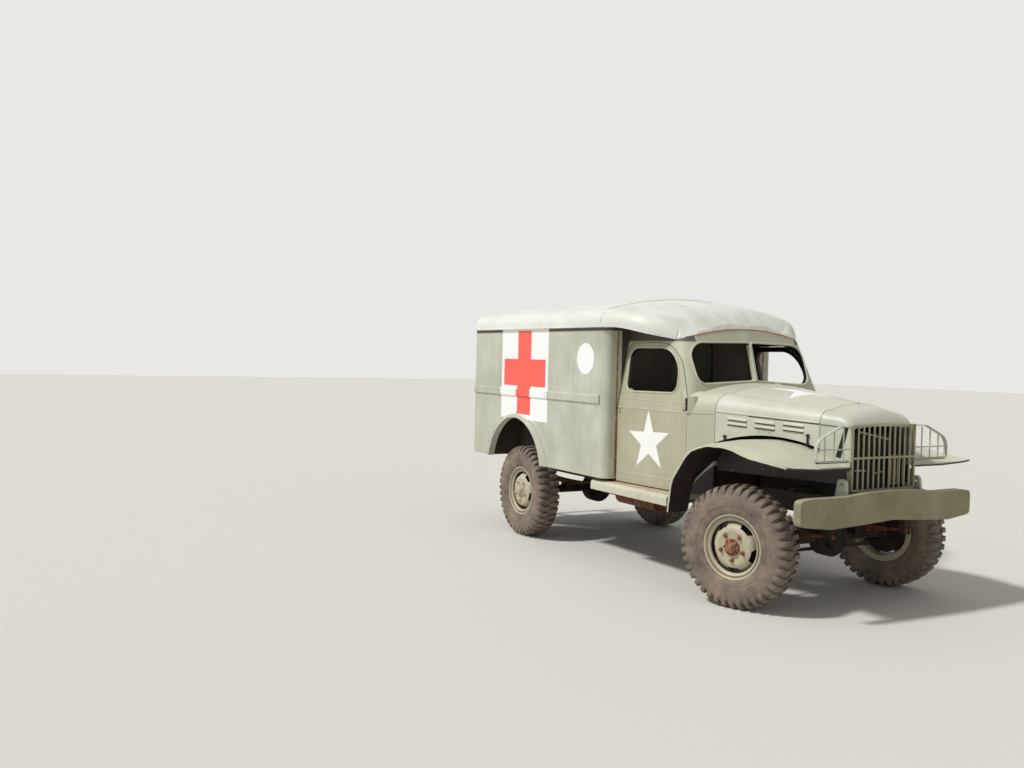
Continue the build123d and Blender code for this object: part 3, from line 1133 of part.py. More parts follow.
STEP_PIN_RADIUS = 10
STEP_EYE_RADIUS = 16
STEP_AXIS_X = -OVERALL_LENGTH / 2 + STEP_THICKNESS + 12
STEP_FOOT = 20
BRACKET_Y = 300
BRACKET_WIDTH = 40
LUG_WIDTH = 24
TAIL_X = RAIL_REAR_X + 60 - CROSS_WIDTH / 2


def make_step_bracket():
    """Arm from the frame's tail crossmember down to the step's pin."""
    low_y, high_y = BRACKET_Y, BRACKET_Y + BRACKET_WIDTH
    corners = [(TAIL_X, CROSS_TOP - 10, 0), (RAIL_REAR_X - 10, CROSS_TOP - 10, 20),
               (STEP_AXIS_X - 4, STEP_HINGE_Z + STEP_EYE_RADIUS, 0),
               (STEP_AXIS_X - 4, STEP_HINGE_Z - STEP_EYE_RADIUS, 0),
               (STEP_AXIS_X + 60, STEP_HINGE_Z - STEP_EYE_RADIUS, 20), (TAIL_X, CROSS_TOP - 80, 0)]
    arm = prism_xz(corners, low_y, high_y)
    arm += rod((STEP_AXIS_X, low_y, STEP_HINGE_Z), (STEP_AXIS_X, high_y, STEP_HINGE_Z), STEP_EYE_RADIUS)
    return arm - rod((STEP_AXIS_X, low_y - 1, STEP_HINGE_Z), (STEP_AXIS_X, high_y + 1, STEP_HINGE_Z),
                     STEP_PIN_RADIUS + SEAT)


keep("step_brackets", both_sides(make_step_bracket()))


def make_step():
    """A tread board with two lugs whose pins run through the brackets' eyes."""
    back_x = -OVERALL_LENGTH / 2
    low_z = STEP_HINGE_Z + STEP_FOOT
    board = prism_yz([(-STEP_HALF, low_z, 12), (STEP_HALF, low_z, 12), (STEP_HALF, low_z + STEP_LENGTH, 40),
                      (-STEP_HALF, low_z + STEP_LENGTH, 40)], back_x, back_x + STEP_THICKNESS)
    lug_high, lug_low = BRACKET_Y - SEAT, BRACKET_Y - SEAT - LUG_WIDTH
    lug = prism_xz([(back_x + 6, low_z + 30, 0), (STEP_AXIS_X + 6, low_z + 30, 0),
                    (STEP_AXIS_X + 14, STEP_HINGE_Z - 14, 12), (STEP_AXIS_X - 14, STEP_HINGE_Z - 14, 12),
                    (back_x + 6, low_z, 0)], lug_low, lug_high)
    lug += rod((STEP_AXIS_X, lug_low, STEP_HINGE_Z), (STEP_AXIS_X, BRACKET_Y + BRACKET_WIDTH + 6, STEP_HINGE_Z),
               STEP_PIN_RADIUS)
    return board + lug + mirrored(lug)


keep("rear_step", make_step())

for name, shape in PIECES.items():
    export_step(shape if isinstance(shape, Compound) else Compound([shape]), f"parts/{name}.step")
    print(name)
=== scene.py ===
# %% [markdown]
# # A field ambulance truck, weathered by years of sun
# The solids come packed in one frame, in metres: X points forward, Y to the truck's left and Z up.
# This file gives them light, paint, rubber and rust, and adds the pieces that are too fine for solids.

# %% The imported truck
import math

import bmesh
import bpy
from mathutils import Matrix, Vector
from mathutils.bvhtree import BVHTree
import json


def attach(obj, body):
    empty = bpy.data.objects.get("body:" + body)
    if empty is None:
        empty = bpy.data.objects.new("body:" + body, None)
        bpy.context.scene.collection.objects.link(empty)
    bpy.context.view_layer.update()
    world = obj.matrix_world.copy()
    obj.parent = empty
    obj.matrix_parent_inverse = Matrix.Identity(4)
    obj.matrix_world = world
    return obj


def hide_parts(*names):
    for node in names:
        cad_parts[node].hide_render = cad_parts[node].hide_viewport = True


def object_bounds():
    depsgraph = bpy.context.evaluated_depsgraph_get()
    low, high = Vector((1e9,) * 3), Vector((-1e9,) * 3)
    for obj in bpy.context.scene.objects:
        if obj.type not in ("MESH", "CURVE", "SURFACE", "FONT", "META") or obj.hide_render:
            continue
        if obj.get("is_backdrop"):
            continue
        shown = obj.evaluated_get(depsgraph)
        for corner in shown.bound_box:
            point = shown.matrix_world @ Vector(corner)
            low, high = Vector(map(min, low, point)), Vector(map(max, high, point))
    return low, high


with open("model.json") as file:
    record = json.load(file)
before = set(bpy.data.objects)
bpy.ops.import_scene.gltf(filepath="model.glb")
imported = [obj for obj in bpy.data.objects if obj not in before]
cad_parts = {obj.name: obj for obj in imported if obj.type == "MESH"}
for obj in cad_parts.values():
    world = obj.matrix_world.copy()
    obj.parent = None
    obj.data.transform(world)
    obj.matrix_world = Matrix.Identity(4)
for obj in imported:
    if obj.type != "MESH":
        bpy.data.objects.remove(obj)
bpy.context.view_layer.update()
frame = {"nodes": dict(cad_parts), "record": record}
nodes = frame["nodes"]

# %% [markdown]
# ## Where the photographer stood
# The wheels, the bumper and the edges of the box fix the camera: its place, the way it points and its lens.
# A camera looks along its own minus Z, so the three columns of its matrix are right, up and back.

# %% Camera
CAMERA_PLACE = Vector((7.2035, -5.698, 1.794))
YAW, PITCH, ROLL = (math.radians(angle) for angle in (151.344, -1.609, 1.346))
LENS_MM = 34.22
SENSOR_MM = 36
VIEW_END = 400
ahead = Vector((math.cos(PITCH) * math.cos(YAW), math.cos(PITCH) * math.sin(YAW), math.sin(PITCH)))
level = ahead.cross(Vector((0, 0, 1))).normalized()
above = level.cross(ahead)
right = math.cos(ROLL) * level + math.sin(ROLL) * above
up = math.cos(ROLL) * above - math.sin(ROLL) * level
camera = bpy.data.objects.new("camera", bpy.data.cameras.new("camera"))
bpy.context.collection.objects.link(camera)
camera.data.sensor_width = SENSOR_MM
camera.data.lens = LENS_MM
camera.data.clip_end = VIEW_END
camera.matrix_world = Matrix.Translation(CAMERA_PLACE) @ Matrix((right, up, -ahead)).transposed().to_4x4()
bpy.context.scene.camera = camera
bpy.context.scene.view_settings.view_transform = "Standard"
print("camera at", tuple(round(v, 2) for v in CAMERA_PLACE))

# %% [markdown]
# ## Colours and nodes
# Colours are easiest to read as hex numbers, which are sRGB. Shaders work in linear light, so one function
# turns them over. A second small function adds a node, sets it and links it, and every material uses it.

# %% Colour and node helpers


def shade(code):
    """A hex sRGB colour as linear red, green, blue and alpha."""
    parts = [int(code[i:i + 2], 16) / 255 for i in (1, 3, 5)]
    return tuple(p / 12.92 if p <= 0.04045 else ((p + 0.055) / 1.055) ** 2.4 for p in parts) + (1,)


def add_node(tree, kind, inputs=None, **settings):
    """Adds a node, sets its properties, and fills or links its inputs."""
    made = tree.nodes.new(kind)
    for name, value in settings.items():
        setattr(made, name, value)
    for socket, value in (inputs or {}).items():
        if isinstance(value, bpy.types.NodeSocket):
            tree.links.new(value, made.inputs[socket])
        else:
            made.inputs[socket].default_value = value
    return made


def new_material(name):
    """An empty node material: itself, its tree, its shader and the object's own coordinates."""
    material = bpy.data.materials.new(name)
    material.use_nodes = True
    tree = material.node_tree
    shader = tree.nodes["Principled BSDF"]
    place = add_node(tree, "ShaderNodeTexCoord")
    return material, tree, shader, place


def noise(tree, spot, scale, detail, roughness=0.5):
    """The value socket of a cloudy noise."""
    return add_node(tree, "ShaderNodeTexNoise", {"Vector": spot, "Scale": scale, "Detail": detail,
                                                 "Roughness": roughness}).outputs["Fac"]


def stretched(tree, spot, scale, turn=(0, 0, 0)):
    """Coordinates scaled along the axes and then turned."""
    return add_node(tree, "ShaderNodeMapping", {"Vector": spot, "Rotation": turn, "Scale": scale}).outputs[0]


def axes_of(tree, vector):
    """The X, Y and Z sockets of a vector."""
    parts = add_node(tree, "ShaderNodeSeparateXYZ", {0: vector})
    return [parts.outputs[name] for name in "XYZ"]


def math_node(tree, operation, first, second=0.0):
    """The value socket of one sum."""
    return add_node(tree, "ShaderNodeMath", {0: first, 1: second}, operation=operation).outputs[0]


def times(tree, first, second):
    """The product of two values. For masks, it is where both hold."""
    return math_node(tree, "MULTIPLY", first, second)


def fade(tree, value, start, end, high=1.0):
    """A value that climbs from 0 to high as its source goes from start to end."""
    return add_node(tree, "ShaderNodeMapRange", {"Value": value, "From Min": start, "From Max": end,
                                                 "To Max": high}).outputs[0]


def mix(tree, share, first, second):
    """The colour socket of two colours mixed, each a socket or a linear colour."""
    inputs = {"Factor": share, 6: first, 7: second}
    return add_node(tree, "ShaderNodeMix", inputs, data_type="RGBA").outputs[2]


def paint_over(tree, colour, mask, code):
    """A second colour laid over the first where the mask is."""
    return mix(tree, mask, colour, shade(code))


def add_bump(tree, shader, height, strength, distance):
    """Roughens the surface by a height, without moving it."""
    bump = add_node(tree, "ShaderNodeBump", {"Height": height, "Strength": strength, "Distance": distance})
    tree.links.new(bump.outputs[0], shader.inputs["Normal"])


def add_ramp(tree, shader, value, low, middle, high):
    """Colours the shader by a value through three stops, each a position and a colour."""
    ramp = add_node(tree, "ShaderNodeValToRGB", {0: value})
    stops = ramp.color_ramp.elements
    for stop, (position, code) in zip(stops, (low, high)):
        stop.position = position
        stop.color = shade(code)
    stops.new(middle[0]).color = shade(middle[1])
    tree.links.new(ramp.outputs[0], shader.inputs["Base Color"])


# %% [markdown]
# ## Daylight in a studio
# The truck stands in high sun from its right side, with the front in open shade. One wide soft lamp gives
# that, and a pale world fills the shade. The camera sees a plain pale background that adds no light.

# %% Lamp, world and floor
SUN_FROM = Vector((-0.12, -0.62, 0.77))
SUN_STRENGTH = 2.5
SUN_WIDTH = math.radians(6)
SHADE_STRENGTH = 0.45
FLOOR_HALF = 60
MATT = 0.9
lamp = bpy.data.objects.new("key_light", bpy.data.lights.new("key_light", "SUN"))
bpy.context.collection.objects.link(lamp)
lamp.rotation_mode = "QUATERNION"
lamp.rotation_quaternion = SUN_FROM.to_track_quat("Z", "Y")
lamp.data.energy = SUN_STRENGTH
lamp.data.angle = SUN_WIDTH

world = bpy.data.worlds.new("pale_world")
world.use_nodes = True
bpy.context.scene.world = world
sky = world.node_tree
seen = add_node(sky, "ShaderNodeLightPath")
direct = add_node(sky, "ShaderNodeMath", {0: seen.outputs["Is Camera Ray"], 1: seen.outputs["Is Glossy Ray"]},
                  operation="MAXIMUM")
shown = add_node(sky, "ShaderNodeMath", {0: direct.outputs[0], 1: seen.outputs["Is Transmission Ray"]},
                 operation="MAXIMUM")
fill = add_node(sky, "ShaderNodeBackground", {"Color": shade("#F4F3F0"), "Strength": SHADE_STRENGTH})
backdrop = add_node(sky, "ShaderNodeBackground", {"Color": shade("#E9E8E4"), "Strength": 1.0})
both = add_node(sky, "ShaderNodeMixShader", {0: shown.outputs[0], 1: fill.outputs[0], 2: backdrop.outputs[0]})
sky.links.new(both.outputs[0], sky.nodes["World Output"].inputs["Surface"])

floor_mesh = bmesh.new()
bmesh.ops.create_grid(floor_mesh, x_segments=1, y_segments=1, size=FLOOR_HALF)
floor_data = bpy.data.meshes.new("studio_floor")
floor_mesh.to_mesh(floor_data)
floor_mesh.free()
floor = bpy.data.objects.new("studio_floor", floor_data)
bpy.context.collection.objects.link(floor)
floor_paint, _, floor_shader, _ = new_material("matt_studio_floor")
floor_shader.inputs["Base Color"].default_value = shade("#D9D6CF")
floor_shader.inputs["Roughness"].default_value = MATT
floor_data.materials.append(floor_paint)
floor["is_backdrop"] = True
print("sun from", tuple(SUN_FROM))

# %% [markdown]
# ## Old enamel on sheet steel
# Matt olive enamel fades to a chalky warm sage. Rain draws it into soft upright streaks, dust settles on what
# faces up, and stone chips let rust through. Each of these is one layer, and all are worked out from the
# metal's own coordinates in metres, so the paint stays with a door when it opens.

# %% Enamel layers
STREAK_WIDTH = 0.045
BLOTCH_SIZE = 0.40
CHIP_SIZE = 0.011
GRIT_SIZE = 0.0025
PATCH_SIZE = 1 / 3.3
STREAK_DRAW = 0.07
# where each noise, or the way a face looks, starts to show and where it is full
WORN = (0.36, 0.66)
STREAKED = (0.45, 0.75)
DUSTY = (0.35, 1.0)
RUSTED = (0.40, 0.43)
THIN_PAINT = (0.66, 0.74)
SATIN = 0.45
RUST_BROWN = "#7A4A30"
DUST = "#CFCAB4"


def enamel_layers(tree, place, base, pale, dark, rust_share=0.0, streaks=0.22, dust_share=0.4):
    """Faded enamel: the colour socket, a rust mask and a bump height."""
    spot = place.outputs["Object"]
    blotch = noise(tree, spot, 1 / BLOTCH_SIZE, 7, 0.62)
    streak = noise(tree, stretched(tree, spot, (1, 1, STREAK_DRAW)), 1 / STREAK_WIDTH, 4, 0.6)
    colour = mix(tree, fade(tree, blotch, *WORN), shade(base), shade(pale))
    colour = paint_over(tree, colour, fade(tree, streak, *STREAKED, streaks), dark)
    facing_up = axes_of(tree, place.outputs["Normal"])[2]
    colour = paint_over(tree, colour, fade(tree, facing_up, *DUSTY, dust_share), DUST)
    chip = noise(tree, spot, 1 / CHIP_SIZE, 6, 0.7)
    patch = noise(tree, spot, 1 / PATCH_SIZE, 8, 0.75)
    rust = fade(tree, times(tree, chip, patch), *(edge - rust_share for edge in RUSTED))
    grit = noise(tree, spot, 1 / GRIT_SIZE, 2)
    return colour, rust, math_node(tree, "SUBTRACT", grit, rust)


def finish_enamel(tree, shader, colour, rust, height, roughness=0.5):
    """Rust over the colour, then roughness and a fine bump."""
    tree.links.new(paint_over(tree, colour, rust, RUST_BROWN), shader.inputs["Base Color"])
    matt = add_node(tree, "ShaderNodeMapRange", {"Value": rust, "To Min": roughness, "To Max": MATT})
    tree.links.new(matt.outputs[0], shader.inputs["Roughness"])
    add_bump(tree, shader, height, 0.25, 0.0006)


def weathered_enamel(name, base, pale, dark, roughness=0.5, **layers):
    """A plain coat of old enamel."""
    material, tree, shader, place = new_material(name)
    colour, rust, height = enamel_layers(tree, place, base, pale, dark, **layers)
    finish_enamel(tree, shader, colour, rust, height, roughness)
    return material


body_enamel = weathered_enamel("faded_olive_enamel", "#B2B29B", "#C3C3AE", "#97967D")
# paler than the body: a painted highlight on beads, lips and running boards
highlight_trim_enamel = weathered_enamel("trim_enamel_painted_highlight", "#BDBCA6", "#CFCDB8", "#A3A189", rust_share=0.02)
nose_enamel = weathered_enamel("nose_olive_enamel", "#B2B4A2", "#C4C6B8", "#989A88", 0.4, streaks=0.06)
bumper_enamel = weathered_enamel("bumper_olive_enamel", "#7A7252", "#989178", "#665D42", 0.6, rust_share=0.02,
                                 streaks=0.22)
grille_enamel = weathered_enamel("grille_olive_enamel", "#989176", "#ABA48A", "#7D7458", 0.6, rust_share=0.03)
# near-black inside enamel: painted shade on the floors, seats, lockers and bulkhead, with real rust
inner_shade_enamel = weathered_enamel("inner_enamel_painted_shade", "#3A352A", "#4A4336", "#2A231B", 0.8, rust_share=0.03,
                                dust_share=0.15)
frame_enamel = weathered_enamel("dusty_frame_enamel", "#3A3026", "#4C4033", "#281F17", 0.8, rust_share=0.05,
                                dust_share=0.2)
print("enamels ready")

# %% [markdown]
# ## Painted signs
# The cross, its white field, the disc and the stars are brushed straight on the enamel, so they are part of
# the paint and not plates on it. Each is a mask drawn by arithmetic on the coordinates. A five-pointed star
# is five equal corners: folding the angle into one of them leaves a single straight edge to test.

# %% Sign masks
SOFT_EDGE = 0.0015
FIFTH_TURN = math.tau / 5
# the edge from a tip to a notch leans this far off the tip's ray
TIP_LEAN = math.radians(18)


def inside(tree, value, centre, half, soft=SOFT_EDGE):
    """1 where a coordinate lies within half of a centre, with a soft edge."""
    away = math_node(tree, "ABSOLUTE", math_node(tree, "SUBTRACT", value, centre))
    return fade(tree, away, half + soft, half - soft)


def reach_from(tree, u, v, centre):
    """Steps across and up from a centre, and the distance."""
    across = math_node(tree, "SUBTRACT", u, centre[0])
    upward = math_node(tree, "SUBTRACT", v, centre[1])
    squares = math_node(tree, "ADD", times(tree, across, across), times(tree, upward, upward))
    return across, upward, math_node(tree, "SQRT", squares)


def star_mask(tree, u, v, centre, radius, turn):
    """1 inside a five-pointed star whose first tip lies at the angle turn."""
    across, upward, reach = reach_from(tree, u, v, centre)
    angle = math_node(tree, "SUBTRACT", math_node(tree, "ARCTAN2", upward, across), turn)
    fifths = math_node(tree, "ADD", math_node(tree, "DIVIDE", angle, FIFTH_TURN), 0.5)
    share = math_node(tree, "SUBTRACT", math_node(tree, "FLOORED_MODULO", fifths, 1.0), 0.5)
    corner = times(tree, math_node(tree, "ABSOLUTE", share), FIFTH_TURN)
    along = times(tree, reach, math_node(tree, "COSINE", corner))
    aside = times(tree, reach, math_node(tree, "SINE", corner))
    from_tip = math_node(tree, "SUBTRACT", along, radius)
    edge = math_node(tree, "ADD", times(tree, aside, math.cos(TIP_LEAN)),
                     times(tree, from_tip, math.sin(TIP_LEAN)))
    return fade(tree, edge, SOFT_EDGE, -SOFT_EDGE)


def brushed(tree, place, mask, share=0.95):
    """A mask with thin places where the brush or the weather left the enamel bare."""
    thin = noise(tree, place.outputs["Object"], 34, 7, 0.7)
    kept = add_node(tree, "ShaderNodeMapRange", {"Value": thin,
                                                 "From Min": THIN_PAINT[0], "From Max": THIN_PAINT[1],
                                                 "To Min": share, "To Max": 0.45})
    return times(tree, mask, kept.outputs[0])


def inside_mask(tree, place, centre):
    """1 on faces that look towards a centre."""
    to_centre = add_node(tree, "ShaderNodeVectorMath", {0: centre, 1: place.outputs["Object"]},
                         operation="SUBTRACT")
    lean = add_node(tree, "ShaderNodeVectorMath", {0: to_centre.outputs[0], 1: place.outputs["Normal"]},
                    operation="DOT_PRODUCT")
    return fade(tree, lean.outputs["Value"], 0.02, 0.06)


# %% [markdown]
# The sides of the box carry a white field with a red cross and, further forward, a white disc. The paint runs
# over the rub rail too. Only the outer skin takes it: a mask on the distance from the centre line keeps the
# signs off the inside of the wall, and a mask on the distance from the wheel keeps them off the arch's flare.

# %% Box sides with the cross and the disc
WHITE_PAINT = "#FAFAF8"
RED_PAINT = "#F74224"
FIELD_X = (-1.697, -0.766)
FIELD_LOW_Z = 1.172
CROSS_CENTRE = (-1.229, 1.638)
CROSS_HALF_WIDTH = 0.134
CROSS_REACH = 0.416
DISC_CENTRE = (-0.119, 1.792)
DISC_RADIUS = 0.139
FLARE_CENTRE = (-1.372, 0.638)
FLARE_REACH = 0.642
FLARE_SQUASH = 1.10
ROOF_SHADOW_LOW_Z = 2.036
OUTER_SKIN = (0.9535, 0.9725)
SCUFFED = (0.68, 0.76)
FIELD_SHARE, CROSS_SHARE, DISC_SHARE = 0.95, 0.92, 0.95


def scuffs(tree, place, colour, size, share, code):
    """Short dark scuffs scattered over a colour."""
    slant = stretched(tree, place.outputs["Object"], (1, 1, 0.3), (0, 0.6, 0))
    marks = noise(tree, slant, 1 / size, 6, 0.7)
    return paint_over(tree, colour, fade(tree, marks, *SCUFFED, share), code)


def box_side_paint():
    """Enamel with the field, the cross and the disc, kept off the flare."""
    material, tree, shader, place = new_material("box_side_enamel")
    colour, rust, height = enamel_layers(tree, place, "#B3B5A3", "#C8CABA", "#9A9B87", 0.0, 0.3)
    x, y, z = axes_of(tree, place.outputs["Object"])
    away = math_node(tree, "ABSOLUTE", y)
    skin = times(tree, math_node(tree, "GREATER_THAN", away, OUTER_SKIN[0]),
                 math_node(tree, "LESS_THAN", away, OUTER_SKIN[1]))
    # the signs run down close to the arch above the wheel, so heights are stretched before they are measured
    raised = times(tree, z, FLARE_SQUASH)
    arch_reach = reach_from(tree, x, raised, (FLARE_CENTRE[0], FLARE_CENTRE[1] * FLARE_SQUASH))[2]
    off_flare = math_node(tree, "SUBTRACT", 1.0, fade(tree, arch_reach, FLARE_REACH, FLARE_REACH - 0.002))
    skin = times(tree, skin, off_flare)
    field = times(tree, inside(tree, x, sum(FIELD_X) / 2, (FIELD_X[1] - FIELD_X[0]) / 2),
                  math_node(tree, "GREATER_THAN", z, FIELD_LOW_Z))
    field = times(tree, field, skin)
    bars = []
    for along, across in ((z, x), (x, z)):
        middle, other = (CROSS_CENTRE[1], CROSS_CENTRE[0]) if along is z else CROSS_CENTRE
        bars.append(times(tree, inside(tree, along, middle, CROSS_REACH),
                          inside(tree, across, other, CROSS_HALF_WIDTH)))
    cross = times(tree, math_node(tree, "MAXIMUM", *bars), field)
    disc = times(tree, inside(tree, reach_from(tree, x, z, DISC_CENTRE)[2], 0.0, DISC_RADIUS), skin)
    # painted shadow: a dark brown band where the roof's edge overhangs the wall
    colour = paint_over(tree, colour, fade(tree, z, ROOF_SHADOW_LOW_Z, ROOF_SHADOW_LOW_Z + 0.008, 0.9), "#3A2F28")
    # a darker line just outside the flare's edge, painted shade
    flare_edge_shade = fade(tree, arch_reach, FLARE_REACH + 0.012, FLARE_REACH + 0.002, 0.55)
    colour = paint_over(tree, colour, times(tree, flare_edge_shade, off_flare), "#6F6A57")
    signs = [(field, FIELD_SHARE, WHITE_PAINT), (cross, CROSS_SHARE, RED_PAINT),
             (disc, DISC_SHARE, WHITE_PAINT)]
    for mask, share, code in signs:
        colour = paint_over(tree, colour, brushed(tree, place, mask, share), code)
    colour = scuffs(tree, place, colour, 0.11, 0.55, "#5A4A3C")
    finish_enamel(tree, shader, colour, rust, height)
    return material


box_paint = box_side_paint()

# %% Doors and hood with their stars
DOOR_STAR = (0.632, 1.112)
DOOR_STAR_RADIUS = 0.262
DOOR_STAR_TURN = math.radians(92)
HOOD_STAR = (1.62, 0.0)
HOOD_STAR_RADIUS = 0.30
# near-black painted shade on the faces inside the cab, the doors and the hood
INSIDE_SHADE = "#1D1813"
CAB_CENTRE = (0.62, 0.0, 1.45)
COWL_CENTRE = (1.18, 0.0, 1.1)
ARCH_CENTRE = (1.758, 0.45)
ARCH_REACH = 0.727
LEAF_Y = 0.69
LEAF_X = 1.0
RECESS_Y = 0.55
RECESS_Z = (1.946, 1.958)
OUTWARDS = 0.3
DOOR_MIDDLE_Z, HOOD_MIDDLE_Z = 1.3, 1.1


def starred_paint(name, base, pale, dark, upper, centre, radius, turn, **layers):
    """Enamel with one white star, seen from the side or from above."""
    material, tree, shader, place = new_material(name)
    colour, rust, height = enamel_layers(tree, place, base, pale, dark, **layers)
    x, y, z = axes_of(tree, place.outputs["Object"])
    _, aside, facing_up = axes_of(tree, place.outputs["Normal"])
    mask = star_mask(tree, x, y if upper else z, centre, radius, turn)
    outwards = facing_up if upper else times(tree, aside, y)
    mask = times(tree, mask, math_node(tree, "GREATER_THAN", outwards, OUTWARDS))
    colour = paint_over(tree, colour, brushed(tree, place, mask), WHITE_PAINT)
    # faces inside the door or the hood take painted shade
    within = inside_mask(tree, place, (centre[0], 0.0, HOOD_MIDDLE_Z if upper else DOOR_MIDDLE_Z))
    colour = paint_over(tree, colour, within, INSIDE_SHADE)
    finish_enamel(tree, shader, colour, rust, height, SATIN)
    return material


def shell_paint(name, base, pale, dark, centre, arch=False, **layers):
    """Enamel outside, and near-black painted shade inside, on the faces that look towards the cab's middle.
    """
    material, tree, shader, place = new_material(name)
    colour, rust, height = enamel_layers(tree, place, base, pale, dark, **layers)
    x, y, z = axes_of(tree, place.outputs["Object"])
    away = math_node(tree, "ABSOLUTE", y)
    # the hinge leaves stand off the outside, so they stay enamelled
    within = math_node(tree, "MAXIMUM", math_node(tree, "LESS_THAN", away, LEAF_Y),
                       math_node(tree, "LESS_THAN", x, LEAF_X))
    inner = times(tree, inside_mask(tree, place, centre), within)
    if arch:
        # painted shade under the fender
        in_shade = fade(tree, reach_from(tree, x, z, ARCH_CENTRE)[2], ARCH_REACH, ARCH_REACH - 0.01)
    else:
        # painted shade in the recess under the roof's edge
        in_shade = times(tree, fade(tree, z, *RECESS_Z, 0.85), math_node(tree, "GREATER_THAN", away, RECESS_Y))
    inner = math_node(tree, "MAXIMUM", inner, in_shade)
    colour = paint_over(tree, colour, inner, INSIDE_SHADE)
    finish_enamel(tree, shader, colour, rust, height, SATIN)
    return material


cab_enamel = shell_paint("cab_enamel", "#B4B49D", "#C5C5B0", "#98977E", CAB_CENTRE, streaks=0.12)
cowl_enamel = shell_paint("cowl_enamel", "#BDBDA7", "#CDCCB8", "#A09F87", COWL_CENTRE, True, streaks=0.06)
door_paint = starred_paint("door_enamel", "#ABA990", "#B9B69E", "#8F8C73", False, DOOR_STAR, DOOR_STAR_RADIUS,
                           DOOR_STAR_TURN, rust_share=0.012, streaks=0.15)
hood_paint = starred_paint("hood_enamel", "#BBBCA9", "#CFD0C2", "#A0A18B", True, HOOD_STAR, HOOD_STAR_RADIUS,
                           0.0, streaks=0.05)
print("signs painted")

# %% [markdown]
# The roof has taken the most sun. Its enamel is almost white over the box. Over the cab it clouds to a soft
# grey-green, and branches have drawn long pale scratches over its top.

# %% Roof enamel
BLEACHED_TO = (0.15, 0.45)
ROOF_TOP = (2.10, 2.18)
RUBBED = (0.46, 0.66)
SCRATCHED = (0.58, 0.68)


def roof_paint():
    """Bleached enamel, clouded and scratched ahead of the roof's seam."""
    material, tree, shader, place = new_material("sun_bleached_roof_enamel")
    spot = place.outputs["Object"]
    colour, rust, height = enamel_layers(tree, place, "#D8DBD0", "#E9EAE3", "#C3C6B9", 0.0, 0.08, 0.1)
    x, _, z = axes_of(tree, spot)
    rubbed = noise(tree, stretched(tree, spot, (0.55, 1.6, 1.6)), 4.2, 9, 0.68)
    ahead_of_seam = fade(tree, x, *BLEACHED_TO)
    grey = times(tree, fade(tree, rubbed, *RUBBED, 0.42), ahead_of_seam)
    colour = paint_over(tree, colour, grey, "#B4BBAA")
    scratch = noise(tree, stretched(tree, spot, (2.2, 16, 1), (0, 0, 0.35)), 2.0, 6, 0.66)
    on_top = times(tree, ahead_of_seam, fade(tree, z, *ROOF_TOP))
    bare = times(tree, fade(tree, scratch, *SCRATCHED, 0.75), on_top)
    colour = paint_over(tree, colour, bare, "#F4F4F0")
    finish_enamel(tree, shader, colour, rust, height, SATIN)
    return material


roof_enamel = roof_paint()

# %% [markdown]
# The front fenders are sage on top and, underneath, brown rust darkened to near black by painted shade, with
# a few pale specks where the sheet has rotted to pinholes. Faces that look down, and the inner wall beside
# the engine, belong to the underside.

# %% Fender enamel
INNER_WALL_Y = 0.62
INNER_WALL_TOP = 1.2
UPRIGHT = 0.3
PINHOLE = (0.075, 0.06)


def fender_paint():
    """Enamel above, and brown rust with pale pinholes below, darkened by painted shade."""
    material, tree, shader, place = new_material("fender_enamel_and_rust")
    spot = place.outputs["Object"]
    colour, rust, height = enamel_layers(tree, place, "#B3B39C", "#C8C7B3", "#99977F", 0.01, 0.05, 0.35)
    _, y, z = axes_of(tree, spot)
    facing_up = axes_of(tree, place.outputs["Normal"])[2]
    inboard = math_node(tree, "LESS_THAN", math_node(tree, "ABSOLUTE", y), INNER_WALL_Y)
    upright = math_node(tree, "LESS_THAN", math_node(tree, "ABSOLUTE", facing_up), UPRIGHT)
    wall = times(tree, times(tree, inboard, upright), math_node(tree, "LESS_THAN", z, INNER_WALL_TOP))
    # faces that look down and the inner wall take near-black brown: rust and painted shade
    in_shade = math_node(tree, "MAXIMUM", fade(tree, facing_up, -0.02, -0.12), wall)
    blotch = fade(tree, noise(tree, spot, 9, 7, 0.7), 0.4, 0.65)
    brown = mix(tree, blotch, shade("#150C08"), shade("#331D12"))
    holes = add_node(tree, "ShaderNodeTexVoronoi", {"Vector": spot, "Scale": 11})
    brown = paint_over(tree, brown, fade(tree, holes.outputs["Distance"], *PINHOLE), "#9C8B78")
    finish_enamel(tree, shader, mix(tree, in_shade, colour, brown), rust, height, SATIN)
    return material


fender_enamel = fender_paint()

# %% [markdown]
# ## Rust, rubber and iron
# Bare steel that has stood out for decades is a patchwork of brown and orange scale. Tyre rubber goes grey as
# it dries, and road dust stays in it. Both are rough and hardly reflect.

# %% Rust, iron, rubber


def scaled_metal(name, deep, mid, bright, size, roughness=0.88):
    """Rusty or oily bare metal in three tones."""
    material, tree, shader, place = new_material(name)
    spot = place.outputs["Object"]
    broad = noise(tree, spot, 1 / size, 8, 0.7)
    add_ramp(tree, shader, broad, (0.35, deep), (0.52, mid), (0.68, bright))
    shader.inputs["Roughness"].default_value = roughness
    add_bump(tree, shader, noise(tree, spot, 8 / size, 5, 0.7), 0.6, 0.0012)
    return material


rusty_steel = scaled_metal("rusty_bare_steel", "#3B2318", "#6B3F28", "#96603E", 0.06)
hub_rust = scaled_metal("brown_hub_rust", "#4E2E20", "#8E6148", "#C09272", 0.03)
seam_rust = scaled_metal("seam_rust_in_old_enamel", "#7A4226", "#A8663E", "#B9AE92", 0.05)
old_iron = scaled_metal("oily_cast_iron", "#1A1612", "#2B241E", "#40332A", 0.09, 0.75)
arch_rust = scaled_metal("dusty_brown_underside", "#1A100B", "#2E1C13", "#4A3022", 0.16)
# near-black: painted shade in gaps, slots and holes
gap_shade = scaled_metal("painted_gap_shade", "#15110D", "#1C1712", "#2A211A", 0.1)
trodden_board = scaled_metal("trodden_bare_board", "#A6927A", "#BCAA90", "#D2C3AA", 0.09)
radiator_core = scaled_metal("radiator_fins", "#0A0807", "#120E0B", "#2A211A", 0.12)


